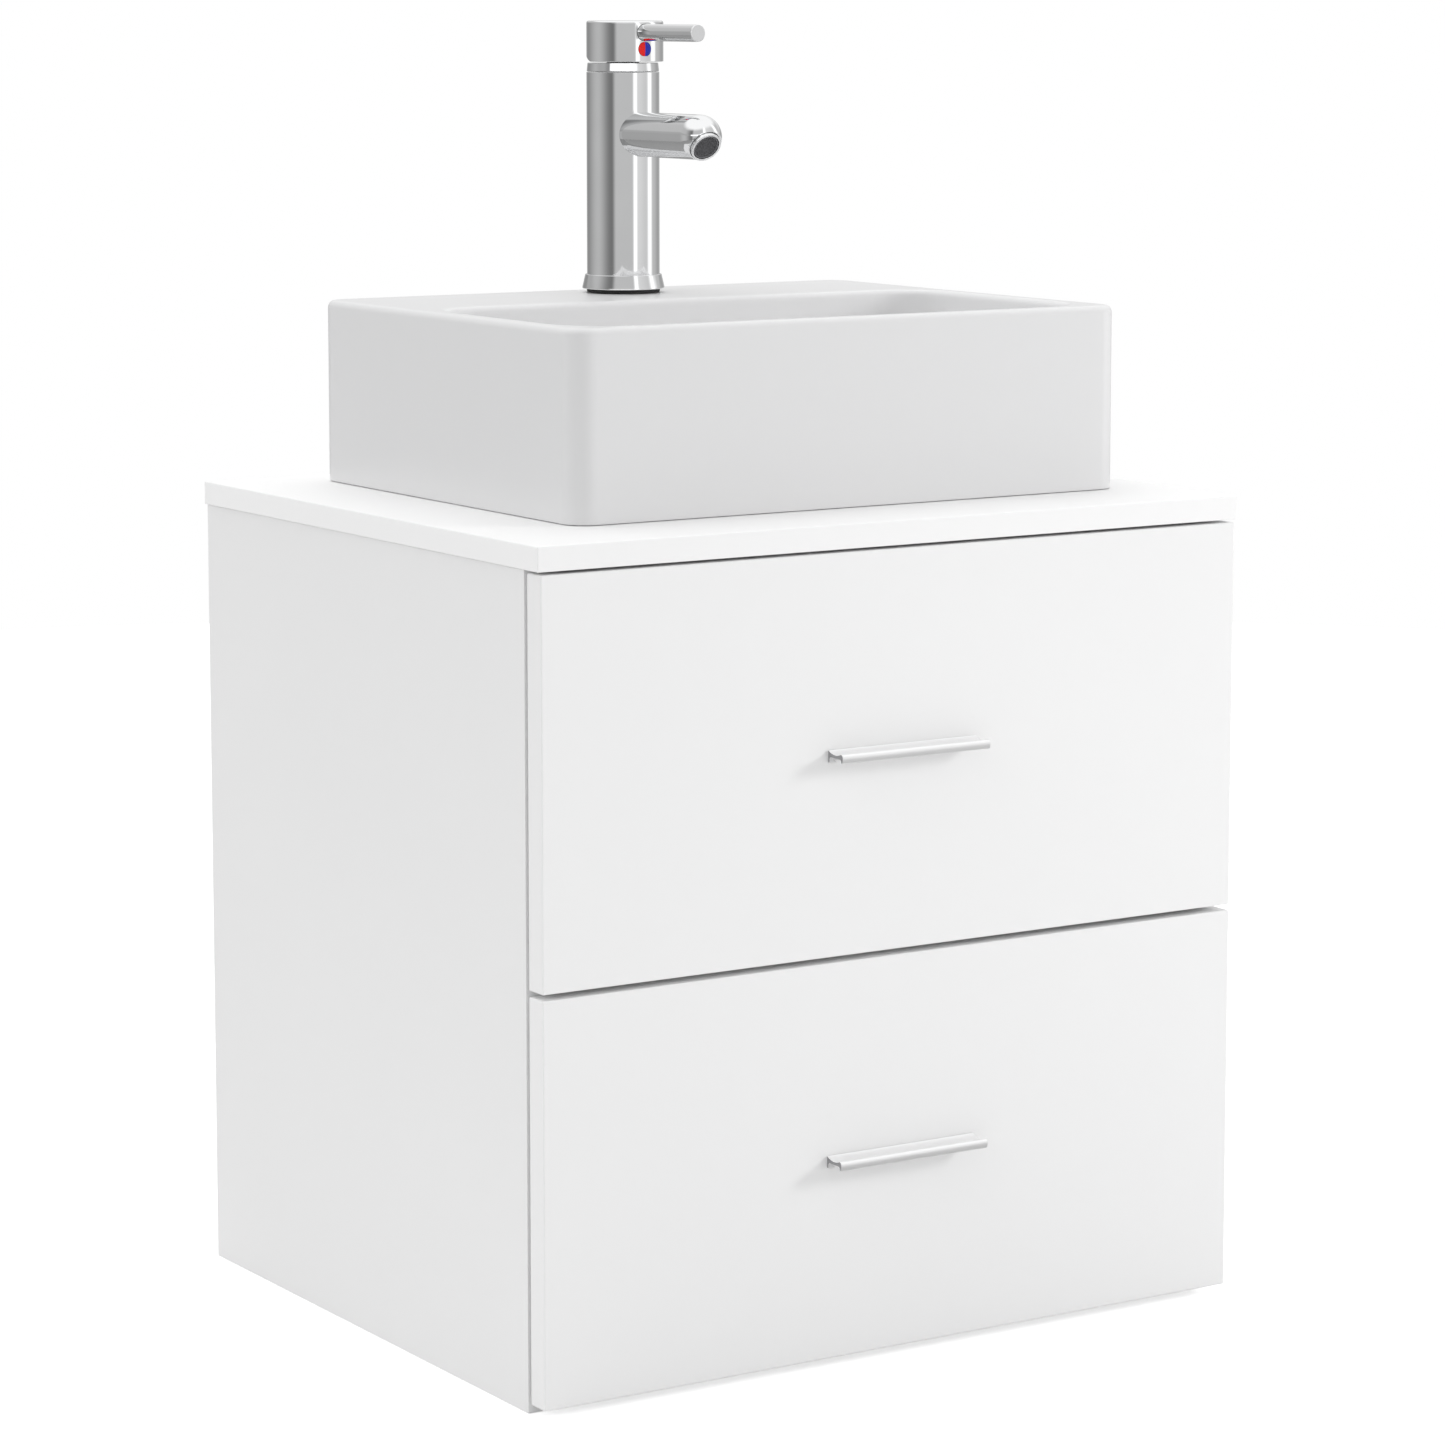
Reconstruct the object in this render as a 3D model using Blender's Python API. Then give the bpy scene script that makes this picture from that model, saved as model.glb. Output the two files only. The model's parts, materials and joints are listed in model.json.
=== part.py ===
"""Vessel basin on a two-drawer vanity, with a pin-lever tap, a click waste and a bottle trap.

Metres, +Z up. +X is to the right seen from the front and +Y points at the wall. The origin lies on the
plane of the cabinet's underside, below the middle of the object's box.
"""

import math

import bmesh
import bpy
from mathutils import Matrix, Vector

GAP = 0.0003  # air left between pieces that rest on each other
AXIAL_STEPS = 40  # sides of a turned piece
FINE_STEPS = 24  # sides of a small turned piece
SHARP_ANGLE = math.radians(32)

# Cabinet
FRONT_FACE_Y = -0.204
BACK_Y = 0.220
CARCASS_WIDTH = 0.500
CARCASS_HEIGHT = 0.495
CARCASS_FRONT_Y = FRONT_FACE_Y + 0.019
BOARD = 0.015
INNER_HALF = CARCASS_WIDTH / 2 - BOARD
RAIL_DEPTH = 0.080
TOP_RAIL_HEIGHT = 0.060
TOP_WIDTH = 0.504
TOP_Z = 0.510

# Drawers
FRONT_WIDTH = 0.500
FRONT_HEIGHT = 0.242
FRONT_THICKNESS = 0.016
FRONT_EDGE = 0.0008
FRONT_BACK_Y = FRONT_FACE_Y + FRONT_THICKNESS
BOX_BOARD = 0.012
BOX_HALF = 0.2221
BOX_BACK_Y = 0.165
BOX_HEIGHT = 0.150
BOX_BASE_RISE = 0.006
BOX_BASE_BOARD = 0.006
TRAP_ROOM = 0.0455  # half width of the recess for the trap
TRAP_ROOM_FRONT = 0.0525  # from the waste to the front of the recess
DRAWERS = {"lower": (0.006, 0.030), "upper": (0.2515, 0.270)}  # bottom of the front, bottom of the box

# Runners: distances from the carcass wall and half heights of the three nested channels
RUNNER_LENGTH = 0.350
RUNNER_SHEET = 0.0012
RUNNER_FRONT_Y = -0.183
RUNNER_CABINET = (0.0003, 0.0095, 0.0225)
RUNNER_MIDDLE = (0.0022, 0.0095, 0.0203)
RUNNER_DRAWER = (0.0120, 0.0045, 0.0160)
RUNNER_RISE = 0.075

# Handles
HANDLE_LENGTH = 0.107
HANDLE_MIDDLE_X = -0.0008
HANDLE_REACH = 0.0157
HANDLE_TOP_RISE = 0.0040  # top edge of the grip above the middle of the drawer front
HANDLE_SKIN = 0.0018
SCREW_SPACING = 0.096
SCREW_SHANK = 0.0014
SCREW_HEAD = 0.0034
SCREW_DROP = 0.0046
BOSS_RADIUS = 0.0026

# Basin
BASIN_CENTRE_X = 0.0155
BASIN_WIDTH = 0.400
BASIN_DEPTH = 0.320
BASIN_FRONT_Y = FRONT_FACE_Y + 0.072
BASIN_BASE_Z = TOP_Z + GAP
BASIN_TOP_Z = 0.6260
BASIN_CORNER = 0.016
BASIN_LIP = 0.0045
BASIN_FOOT_EDGE = 0.0008
BOWL_RIM = 0.015
BOWL_BACK_Y = FRONT_FACE_Y + 0.276
BOWL_CORNER = 0.035
BOWL_WALL = 0.040
BOWL_DEPTH = 0.0875
BOWL_SWEEP = 0.043
CORNER_STEPS = 6

# Waste and trap
WASTE_X = BASIN_CENTRE_X
WASTE_Y = (BASIN_FRONT_Y + BOWL_RIM + BOWL_BACK_Y) / 2
SEAT_Z = BASIN_TOP_Z - BOWL_DEPTH
FLANGE_RADIUS = 0.0325
FLANGE_THICKNESS = 0.0025
TUBE_RADIUS = 0.020
TUBE_BORE = 0.017
TUBE_END_Z = 0.432
PLUG_RADIUS = 0.031
PLUG_STEM = 0.004
PLUG_STEM_END_Z = 0.500
NUT_RECESS_RADIUS = 0.042
NUT_RECESS_Z = 0.522
TRAP_RADIUS = 0.027
OUTLET_Z = 0.4055
OUTLET_RADIUS = 0.016

# Tap, with heights above the basin's ledge
TAP_X = 0.0185
TAP_Y = FRONT_FACE_Y + 0.351
TAP_HOLE_RADIUS = 0.0175
LEDGE_UNDERSIDE = 0.0185
BODY_RADIUS = 0.0238
BODY_BASE = 0.0029
BODY_TOP = 0.1436
SPOUT_RADIUS = 0.0144
SPOUT_HEIGHT = 0.1035
SPOUT_STRAIGHT = 0.0927
SPOUT_NOSE = 0.0140
SPOUT_BORE = 0.008
AERATOR_TILT = math.radians(35)  # below the horizontal
AERATOR_RADIUS = 0.0103
AERATOR_FACE = 0.0115  # from the spout's axis, along the aerator's own axis
SCREEN_RADIUS = 0.0086
CARTRIDGE_RADIUS = 0.0177
CARTRIDGE_BASE = 0.1163
CARTRIDGE_TOP = 0.1433
CAP_BASE = 0.1504
CAP_TOP = 0.1768
CAP_RADIUS = 0.0251
CAP_SHIFT = -0.0026
CAP_CAVITY_TOP = 0.1605
LIFT_PIVOT = 0.149
LIFT_ANGLE = math.radians(21)
PIN_RADIUS = 0.0055
PIN_HEIGHT = 0.1692
PIN_TIP = -0.092
PIN_ROOT = -0.0205
DISC_RADIUS = 0.0046
DISC_HEIGHT = 0.1586
STUD_OFFSET = 0.010
STUD_RADIUS = 0.004

# Colour, roughness and metallic value of each finish
FINISHES = {
    "white_board": ((0.90, 0.90, 0.90), 0.45, 0.0),
    "white_front": ((0.92, 0.92, 0.92), 0.35, 0.0),
    "white_top": ((0.95, 0.95, 0.95), 0.35, 0.0),
    "handle_metal": ((0.90, 0.90, 0.91), 0.30, 1.0),
    "ceramic": ((0.86, 0.87, 0.87), 0.12, 0.0),
    "chrome": ((0.80, 0.80, 0.81), 0.08, 1.0),
    "steel": ((0.62, 0.63, 0.65), 0.35, 1.0),
    "black_rubber": ((0.03, 0.03, 0.03), 0.70, 0.0),
    "grey_plastic": ((0.35, 0.36, 0.38), 0.50, 0.0),
    "white_plastic": ((0.86, 0.86, 0.85), 0.40, 0.0),
    "marker_red_blue": ((0.80, 0.08, 0.06), 0.30, 0.0),
    "dark_screen": ((0.12, 0.12, 0.12), 0.55, 0.0),
}


def clear_scene():
    for item in list(bpy.data.objects):
        bpy.data.objects.remove(item, do_unlink=True)


def finish(name):
    """The Principled material of a finish, made once."""
    found = bpy.data.materials.get(name)
    if found:
        return found
    colour, roughness, metallic = FINISHES[name]
    made = bpy.data.materials.new(name)
    made.use_nodes = True
    shader = made.node_tree.nodes["Principled BSDF"]
    shader.inputs["Base Color"].default_value = (*colour, 1.0)
    shader.inputs["Roughness"].default_value = roughness
    shader.inputs["Metallic"].default_value = metallic
    made.diffuse_color = (*colour, 1.0)
    return made


def add_object(name, shape, origin):
    """An object of a shape drawn in world coordinates, with its origin where asked."""
    bmesh.ops.remove_doubles(shape, verts=shape.verts, dist=1e-7)
    bmesh.ops.recalc_face_normals(shape, faces=shape.faces)
    bmesh.ops.translate(shape, verts=shape.verts, vec=-Vector(origin))
    mesh = bpy.data.meshes.new(name)
    shape.to_mesh(mesh)
    shape.free()
    made = bpy.data.objects.new(name, mesh)
    bpy.context.scene.collection.objects.link(made)
    return made


def add_piece(name, shape, finish_name, joint=None):
    """A named piece. A moving one is parented to the empty that stands on its joint."""
    made = add_object(name, shape, joint.location if joint else (0, 0, 0))
    made.data.materials.append(finish(finish_name))
    made.data.shade_smooth()
    made.data.set_sharp_from_angle(angle=SHARP_ANGLE)
    if joint:
        made.parent = joint
    return made


def add_joint(name, location, parent=None):
    """An empty on a joint's axis."""
    made = bpy.data.objects.new(name, None)
    made.empty_display_size = 0.02
    bpy.context.scene.collection.objects.link(made)
    made.location = location
    if parent:
        made.parent = parent
        made.location = Vector(location) - parent.location
    return made


def apply_tool(target, name, shape, operation):
    """A Boolean with a helper object that stays out of renders."""
    tool = add_object(f"{target.name}.{name}", shape, (0, 0, 0))
    tool.hide_render = True
    tool.display_type = "WIRE"
    boolean = target.modifiers.new(name, "BOOLEAN")
    boolean.operation = operation
    boolean.solver = "EXACT"
    boolean.object = tool


def carve(target, name, shape):
    apply_tool(target, name, shape, "DIFFERENCE")


def fuse(target, name, shape):
    apply_tool(target, name, shape, "UNION")


def box(low, high):
    shape = bmesh.new()
    bmesh.ops.create_cube(shape, size=1.0)
    size = Vector(high) - Vector(low)
    middle = (Vector(high) + Vector(low)) / 2
    bmesh.ops.scale(shape, verts=shape.verts, vec=size)
    bmesh.ops.translate(shape, verts=shape.verts, vec=middle)
    return shape


def softened_box(low, high, radius):
    shape = box(low, high)
    bmesh.ops.bevel(
        shape, geom=shape.edges[:], offset=radius, segments=1, profile=0.5, affect="EDGES", material=-1
    )
    return shape


def prism(outline, travel):
    """The solid swept by a closed outline of points along a vector."""
    shape = bmesh.new()
    face = shape.faces.new([shape.verts.new(point) for point in outline])
    swept = bmesh.ops.extrude_face_region(shape, geom=[face], use_keep_orig=True)
    moved = [item for item in swept["geom"] if isinstance(item, bmesh.types.BMVert)]
    bmesh.ops.translate(shape, verts=moved, vec=travel)
    return shape


def turned(profile, centre=(0, 0, 0), steps=AXIAL_STEPS, closed=False, turn=None):
    """A profile of (radius, height) points spun about +Z, then turned and put at its centre."""
    shape = bmesh.new()
    verts = [shape.verts.new((radius, 0, height)) for radius, height in profile]
    ends = verts[1:] + verts[:1] if closed else verts[1:]
    edges = [shape.edges.new(pair) for pair in zip(verts, ends)]
    bmesh.ops.spin(
        shape,
        geom=verts + edges,
        cent=(0, 0, 0),
        axis=(0, 0, 1),
        angle=math.tau,
        steps=steps,
        use_merge=True,
    )
    bmesh.ops.remove_doubles(shape, verts=shape.verts, dist=1e-6)
    bmesh.ops.recalc_face_normals(shape, faces=shape.faces)
    if turn:
        bmesh.ops.rotate(shape, verts=shape.verts, cent=(0, 0, 0), matrix=turn)
    bmesh.ops.translate(shape, verts=shape.verts, vec=centre)
    return shape


def rod(radius, start, end, steps=FINE_STEPS, chamfer=0.0):
    """A round bar between two points, with its far end chamfered."""
    start, end = Vector(start), Vector(end)
    length = (end - start).length
    profile = [(0, 0), (radius, 0), (radius, length - chamfer)]
    if chamfer:
        profile.append((radius - chamfer, length))
    profile.append((0, length))
    turn = (end - start).to_track_quat("Z", "Y").to_matrix()
    return turned(profile, start, steps, turn=turn)


def ring(inner, outer, low, high, centre, steps=AXIAL_STEPS):
    """A plain ring between two heights."""
    profile = [(inner, low), (outer, low), (outer, high), (inner, high)]
    return turned(profile, centre, steps, closed=True)


def rounded_loop(centre, half, radius, height):
    """Points round a rectangle with round corners, or round a circle when radius equals both halves."""
    points = []
    for quarter, (side_x, side_y) in enumerate(((1, 1), (-1, 1), (-1, -1), (1, -1))):
        corner_x = centre[0] + side_x * (half[0] - radius)
        corner_y = centre[1] + side_y * (half[1] - radius)
        for step in range(CORNER_STEPS + 1):
            angle = math.pi / 2 * (quarter + step / CORNER_STEPS)
            points.append((corner_x + radius * math.cos(angle), corner_y + radius * math.sin(angle), height))
    return points


def loft_ring(loops):
    """A closed solid whose skin runs through the loops in order and from the last back to the first."""
    shape = bmesh.new()
    rows = [[shape.verts.new(point) for point in loop] for loop in loops]
    count = len(rows[0])
    for row, following in zip(rows, rows[1:] + rows[:1]):
        for index in range(count):
            other = (index + 1) % count
            shape.faces.new((row[index], row[other], following[other], following[index]))
    return shape


def build_carcass():
    outer = CARCASS_WIDTH / 2
    inner = INNER_HALF - GAP
    top = CARCASS_HEIGHT - GAP
    for side, sign in (("left", -1), ("right", 1)):
        low, high = sorted((sign * INNER_HALF, sign * outer))
        add_piece(
            f"{side}_side_panel",
            box((low, CARCASS_FRONT_Y, 0), (high, BACK_Y, CARCASS_HEIGHT)),
            "white_board",
        )
    add_piece("bottom_panel", box((-inner, CARCASS_FRONT_Y, 0), (inner, BACK_Y, BOARD)), "white_board")
    add_piece(
        "front_top_rail",
        box((-inner, CARCASS_FRONT_Y, top - BOARD), (inner, CARCASS_FRONT_Y + RAIL_DEPTH, top)),
        "white_board",
    )
    add_piece(
        "back_top_rail",
        box((-inner, BACK_Y - BOARD, top - TOP_RAIL_HEIGHT), (inner, BACK_Y, top)),
        "white_board",
    )
    add_piece(
        "back_bottom_rail",
        box((-inner, BACK_Y - BOARD, BOARD + GAP), (inner, BACK_Y, BOARD + RAIL_DEPTH)),
        "white_board",
    )
    countertop = add_piece(
        "countertop",
        softened_box(
            (-TOP_WIDTH / 2, FRONT_FACE_Y, CARCASS_HEIGHT + GAP), (TOP_WIDTH / 2, BACK_Y, TOP_Z), 0.0006
        ),
        "white_top",
    )
    hole = 0.030
    for name, place in (("waste_hole", (WASTE_X, WASTE_Y)), ("hose_hole", (TAP_X, TAP_Y))):
        carve(countertop, name, rod(hole, (*place, CARCASS_HEIGHT - BOARD), (*place, TOP_Z + BOARD)))


def build_hangers():
    """Cabinet hangers inside the upper back corners, whose hooks reach the wall plane."""
    thickness = 0.014
    outline = [
        (0.170, 0.392), (0.200, 0.392), (0.200, 0.404), (0.212, 0.404), (0.212, 0.396),
        (0.2197, 0.396), (0.2197, 0.424), (0.200, 0.424), (0.200, 0.430), (0.170, 0.430),
    ]
    for side, start in (("left", GAP - INNER_HALF), ("right", INNER_HALF - GAP - thickness)):
        points = [(start, y, z) for y, z in outline]
        add_piece(f"{side}_wall_hanger", prism(points, (thickness, 0, 0)), "steel")


def handle_outline():
    """Half-round lip, dished top and open underside of the pull, as (reach from the front, height)."""
    outer = [(0.0, -0.0073), (0.0, 0.0)]
    dish = [(0.0018, -0.0007), (0.0042, -0.0015), (0.0070, -0.0019), (0.0100, -0.0017), (0.0130, -0.0011)]
    lip_radius = 0.0017
    centre = (HANDLE_REACH - lip_radius, -0.0007 - lip_radius)
    lip = []
    for step in range(5):
        angle = math.pi / 2 * (1 - step / 4)
        lip.append((centre[0] + lip_radius * math.cos(angle), centre[1] + lip_radius * math.sin(angle)))
    front_foot = [(HANDLE_REACH, -0.0056), (HANDLE_REACH - 0.0005, -0.0063), (HANDLE_REACH - 0.0018, -0.0063)]
    inside = [(HANDLE_REACH - 0.0022, -0.0050), (HANDLE_REACH - 0.0034, -0.0038), (0.0070, -0.0040)]
    inside += [(0.0030, -0.0037), (HANDLE_SKIN, -0.0045), (HANDLE_SKIN, -0.0073)]
    return outer + dish + lip + front_foot + inside


def build_handle(name, middle_z, joint):
    """An extruded pull with two screw bosses, and the screws that hold it from inside."""
    top = middle_z + HANDLE_TOP_RISE
    back = FRONT_FACE_Y - GAP
    start = HANDLE_MIDDLE_X - HANDLE_LENGTH / 2
    points = [(start, back - reach, top + height) for reach, height in handle_outline()]
    handle = add_piece(f"{name}_handle", prism(points, (HANDLE_LENGTH, 0, 0)), "handle_metal", joint)
    axis_z = top - SCREW_DROP
    for side, sign in (("left", -1), ("right", 1)):
        x = HANDLE_MIDDLE_X + sign * SCREW_SPACING / 2
        root = (x, back - 0.0005, axis_z)
        fuse(handle, f"{side}_boss", rod(BOSS_RADIUS, root, (x, back - 0.0100, axis_z), 16))
    for side, sign in (("left", -1), ("right", 1)):
        x = HANDLE_MIDDLE_X + sign * SCREW_SPACING / 2
        bore = rod(SCREW_SHANK + GAP, (x, back + 0.002, axis_z), (x, back - 0.0085, axis_z), 16)
        carve(handle, f"{side}_thread", bore)
        build_handle_screw(f"{name}_handle_{side}_screw", x, axis_z, joint)
    return axis_z


def build_handle_screw(name, x, z, joint):
    head_y = FRONT_BACK_Y + GAP
    head_depth = 0.0022
    length = head_y + 0.0080 - FRONT_FACE_Y
    slot = 0.0009
    profile = [(0, -head_depth), (SCREW_HEAD * 0.7, -head_depth), (SCREW_HEAD, -0.0009), (SCREW_HEAD, 0)]
    profile += [(SCREW_SHANK, 0), (SCREW_SHANK, length), (0, length)]
    facing = Matrix.Rotation(math.radians(90), 3, "X")
    screw = add_piece(name, turned(profile, (x, head_y, z), 16, turn=facing), "steel", joint)
    reach = SCREW_HEAD * 0.62
    for arm, (wide, tall) in {"wide": (reach, slot / 2), "tall": (slot / 2, reach)}.items():
        low = (x - wide, head_y + head_depth - 0.0012, z - tall)
        high = (x + wide, head_y + head_depth + 0.001, z + tall)
        carve(screw, arm, box(low, high))


def drawer_back_outline(level):
    """Plan of a drawer's back board. The upper one folds round the trap."""
    side = BOX_HALF - BOX_BOARD - GAP
    back = BOX_BACK_Y - GAP
    front = back - BOX_BOARD
    if level == "lower":
        return [(-side, front), (side, front), (side, back), (-side, back)]
    left, right, nose = WASTE_X - TRAP_ROOM, WASTE_X + TRAP_ROOM, WASTE_Y - TRAP_ROOM_FRONT
    outer_left, outer_right, outer_nose = left - BOX_BOARD, right + BOX_BOARD, nose - BOX_BOARD
    return [
        (-side, front), (outer_left, front), (outer_left, outer_nose), (outer_right, outer_nose),
        (outer_right, front), (side, front), (side, back), (right, back),
        (right, nose), (left, nose), (left, back), (-side, back),
    ]


def drawer_base_outline(level):
    """Plan of a drawer's base, which stops short of the board that folds round the trap."""
    side = BOX_HALF - BOX_BOARD - GAP
    front = FRONT_BACK_Y + GAP
    back = BOX_BACK_Y - GAP - BOX_BOARD - GAP
    if level == "lower":
        return [(-side, front), (side, front), (side, back), (-side, back)]
    spread = TRAP_ROOM + BOX_BOARD + GAP
    nose = WASTE_Y - TRAP_ROOM_FRONT - BOX_BOARD - GAP
    return [
        (-side, front), (side, front), (side, back), (WASTE_X + spread, back),
        (WASTE_X + spread, nose), (WASTE_X - spread, nose), (WASTE_X - spread, back), (-side, back),
    ]


def upright(outline, low, high):
    """A plan outline stood up between two heights."""
    return prism([(x, y, low) for x, y in outline], (0, 0, high - low))


def build_drawer(level):
    front_z, box_z = DRAWERS[level]
    joint = add_joint(f"{level}_drawer_slide", (0, FRONT_FACE_Y, front_z + FRONT_HEIGHT / 2))
    name = f"{level}_drawer"
    low = (-FRONT_WIDTH / 2, FRONT_FACE_Y, front_z)
    high = (FRONT_WIDTH / 2, FRONT_BACK_Y, front_z + FRONT_HEIGHT)
    front = add_piece(f"{name}_front", softened_box(low, high, FRONT_EDGE), "white_front", joint)
    screw_z = build_handle(name, front_z + FRONT_HEIGHT / 2, joint)
    for side, sign in (("left", -1), ("right", 1)):
        x = HANDLE_MIDDLE_X + sign * SCREW_SPACING / 2
        hole = rod(0.0020, (x, FRONT_FACE_Y - BOARD, screw_z), (x, FRONT_BACK_Y + BOARD, screw_z), 16)
        carve(front, f"{side}_screw_hole", hole)
        near, far = sorted((sign * (BOX_HALF - BOX_BOARD), sign * BOX_HALF))
        add_piece(
            f"{name}_{side}_side",
            box((near, FRONT_BACK_Y + GAP, box_z), (far, BOX_BACK_Y, box_z + BOX_HEIGHT)),
            "white_board",
            joint,
        )
    back = upright(drawer_back_outline(level), box_z, box_z + BOX_HEIGHT)
    add_piece(f"{name}_back", back, "white_board", joint)
    base_z = box_z + BOX_BASE_RISE
    base = upright(drawer_base_outline(level), base_z, base_z + BOX_BASE_BOARD)
    add_piece(f"{name}_bottom", base, "white_board", joint)
    build_runners(level, box_z + RUNNER_RISE, joint)


def channel_outline(web, lips, half, wall, sign, middle_z):
    """A folded channel seen from the front: its web at one distance from the wall and its lips at another."""
    inward = RUNNER_SHEET if lips > web else -RUNNER_SHEET
    points = [
        (web, -half), (web, half), (lips, half), (lips, half - RUNNER_SHEET),
        (web + inward, half - RUNNER_SHEET), (web + inward, RUNNER_SHEET - half),
        (lips, RUNNER_SHEET - half), (lips, -half),
    ]
    return [(wall - sign * distance, middle_z + height) for distance, height in points]


def build_runners(level, middle_z, drawer_joint):
    """A three-part runner on each side: fixed to the carcass, sliding between, fixed to the drawer."""
    for side, sign in (("left", -1), ("right", 1)):
        wall = sign * INNER_HALF
        name = f"{level}_{side}_runner"
        slide = add_joint(f"{name}_slide", (wall, RUNNER_FRONT_Y, middle_z))
        members = (
            ("cabinet_member", RUNNER_CABINET, 0.0, None),
            ("middle_member", RUNNER_MIDDLE, 0.0015, slide),
            ("drawer_member", RUNNER_DRAWER, -0.0015, drawer_joint),
        )
        for member, (web, lips, half), forward, joint in members:
            outline = channel_outline(web, lips, half, wall, sign, middle_z)
            points = [(x, RUNNER_FRONT_Y + forward, z) for x, z in outline]
            add_piece(f"{name}_{member}", prism(points, (0, RUNNER_LENGTH - 0.003, 0)), "steel", joint)


def basin_loops():
    """The loops of the basin's skin: up the outside, over the rim, down the bowl and out under the foot."""
    centre = (BASIN_CENTRE_X, BASIN_FRONT_Y + BASIN_DEPTH / 2)
    half = (BASIN_WIDTH / 2, BASIN_DEPTH / 2)
    loops = []

    def outside(inset, height):
        halves = (half[0] - inset, half[1] - inset)
        loops.append(rounded_loop(centre, halves, BASIN_CORNER - inset, height))

    outside(BASIN_FOOT_EDGE, BASIN_BASE_Z)
    outside(0.0, BASIN_BASE_Z + BASIN_FOOT_EDGE)
    for step in range(4):
        angle = math.pi / 2 * step / 3
        drop = BASIN_LIP * (1 - math.sin(angle))
        outside(BASIN_LIP * (1 - math.cos(angle)), BASIN_TOP_Z - drop)

    bowl_front = BASIN_FRONT_Y + BOWL_RIM
    bowl_centre = (WASTE_X, WASTE_Y)
    bowl_half = (BASIN_WIDTH / 2 - BOWL_RIM, (BOWL_BACK_Y - bowl_front) / 2)

    def inside(inset, depth, radius):
        halves = (bowl_half[0] - inset, bowl_half[1] - inset)
        loops.append(rounded_loop(bowl_centre, halves, radius, BASIN_TOP_Z - depth))

    for step in range(4):
        angle = math.pi / 2 * step / 3
        inset = -BASIN_LIP * (1 - math.sin(angle))
        inside(inset, BASIN_LIP * (1 - math.cos(angle)), BOWL_CORNER - inset)
    sweep_depth = BOWL_DEPTH - BOWL_WALL - 0.0035
    for step in range(7):
        angle = math.pi / 2 * step / 6
        inset = 0.002 + BOWL_SWEEP * (1 - math.cos(angle))
        inside(inset, BOWL_WALL + sweep_depth * math.sin(angle), BOWL_CORNER + inset * 0.3)

    def round_waste(radius, height):
        loops.append(rounded_loop(bowl_centre, (radius, radius), radius, height))

    round_waste(FLANGE_RADIUS + 0.0005, SEAT_Z)
    round_waste(FLANGE_RADIUS + 0.0005, SEAT_Z - FLANGE_THICKNESS - GAP)
    round_waste(0.0225, SEAT_Z - FLANGE_THICKNESS - GAP)
    round_waste(0.0225, NUT_RECESS_Z)
    round_waste(NUT_RECESS_RADIUS, NUT_RECESS_Z)
    round_waste(NUT_RECESS_RADIUS, BASIN_BASE_Z)
    return loops


def build_basin():
    basin = add_piece("basin", loft_ring(basin_loops()), "ceramic")
    wall = 0.014
    half = BASIN_WIDTH / 2 - wall
    pocket_low = (BASIN_CENTRE_X - half, BOWL_BACK_Y + 0.0125, TOP_Z - 0.001)
    pocket_high = (
        BASIN_CENTRE_X + half,
        BASIN_FRONT_Y + BASIN_DEPTH - wall + 0.002,
        BASIN_TOP_Z - LEDGE_UNDERSIDE,
    )
    carve(basin, "tap_pocket", box(pocket_low, pocket_high))
    hole = rod(TAP_HOLE_RADIUS, (TAP_X, TAP_Y, BASIN_TOP_Z - 0.030), (TAP_X, TAP_Y, BASIN_TOP_Z + 0.010), 32)
    carve(basin, "tap_hole", hole)


def build_waste():
    centre = (WASTE_X, WASTE_Y, 0)
    seat = SEAT_Z - FLANGE_THICKNESS
    profile = [
        (TUBE_BORE, SEAT_Z - 0.001), (TUBE_BORE + 0.001, SEAT_Z), (FLANGE_RADIUS - 0.0008, SEAT_Z),
        (FLANGE_RADIUS, SEAT_Z - 0.0008), (FLANGE_RADIUS, seat), (TUBE_RADIUS, seat),
        (TUBE_RADIUS, TUBE_END_Z), (TUBE_BORE, TUBE_END_Z),
    ]
    body = add_piece("waste_body", turned(profile, centre, closed=True), "chrome")
    guide_z = 0.515
    half = TUBE_BORE + 0.0015
    web = 0.0062
    bar = box((WASTE_X - half, WASTE_Y - web, guide_z), (WASTE_X + half, WASTE_Y + web, guide_z + 0.008))
    fuse(body, "plug_guide", bar)
    stem_hole = rod(
        PLUG_STEM + 0.0004, (WASTE_X, WASTE_Y, guide_z - 0.01), (WASTE_X, WASTE_Y, guide_z + 0.02)
    )
    carve(body, "stem_hole", stem_hole)

    joint = add_joint("waste_plug_slide", (WASTE_X, WASTE_Y, SEAT_Z))
    rest = SEAT_Z + GAP
    dome = [(0, PLUG_STEM_END_Z), (PLUG_STEM, PLUG_STEM_END_Z), (PLUG_STEM, rest)]
    dome += [(PLUG_RADIUS - 0.0008, rest), (PLUG_RADIUS, rest + 0.0010), (PLUG_RADIUS * 0.95, rest + 0.0026)]
    dome += [(PLUG_RADIUS * 0.6, rest + 0.0040), (0, rest + 0.0048)]
    add_piece("waste_plug", turned(dome, centre), "chrome", joint)

    nut_high = NUT_RECESS_Z - GAP
    nut = [
        (TUBE_RADIUS + 0.0004, nut_high - 0.0095), (0.0300, nut_high - 0.0095),
        (0.0310, nut_high - 0.0085), (0.0310, nut_high - 0.0030), (0.0360, nut_high - 0.0030),
        (0.0360, nut_high), (TUBE_RADIUS + 0.0004, nut_high),
    ]
    add_piece("waste_lock_nut", turned(nut, centre, closed=True), "white_plastic")


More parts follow.
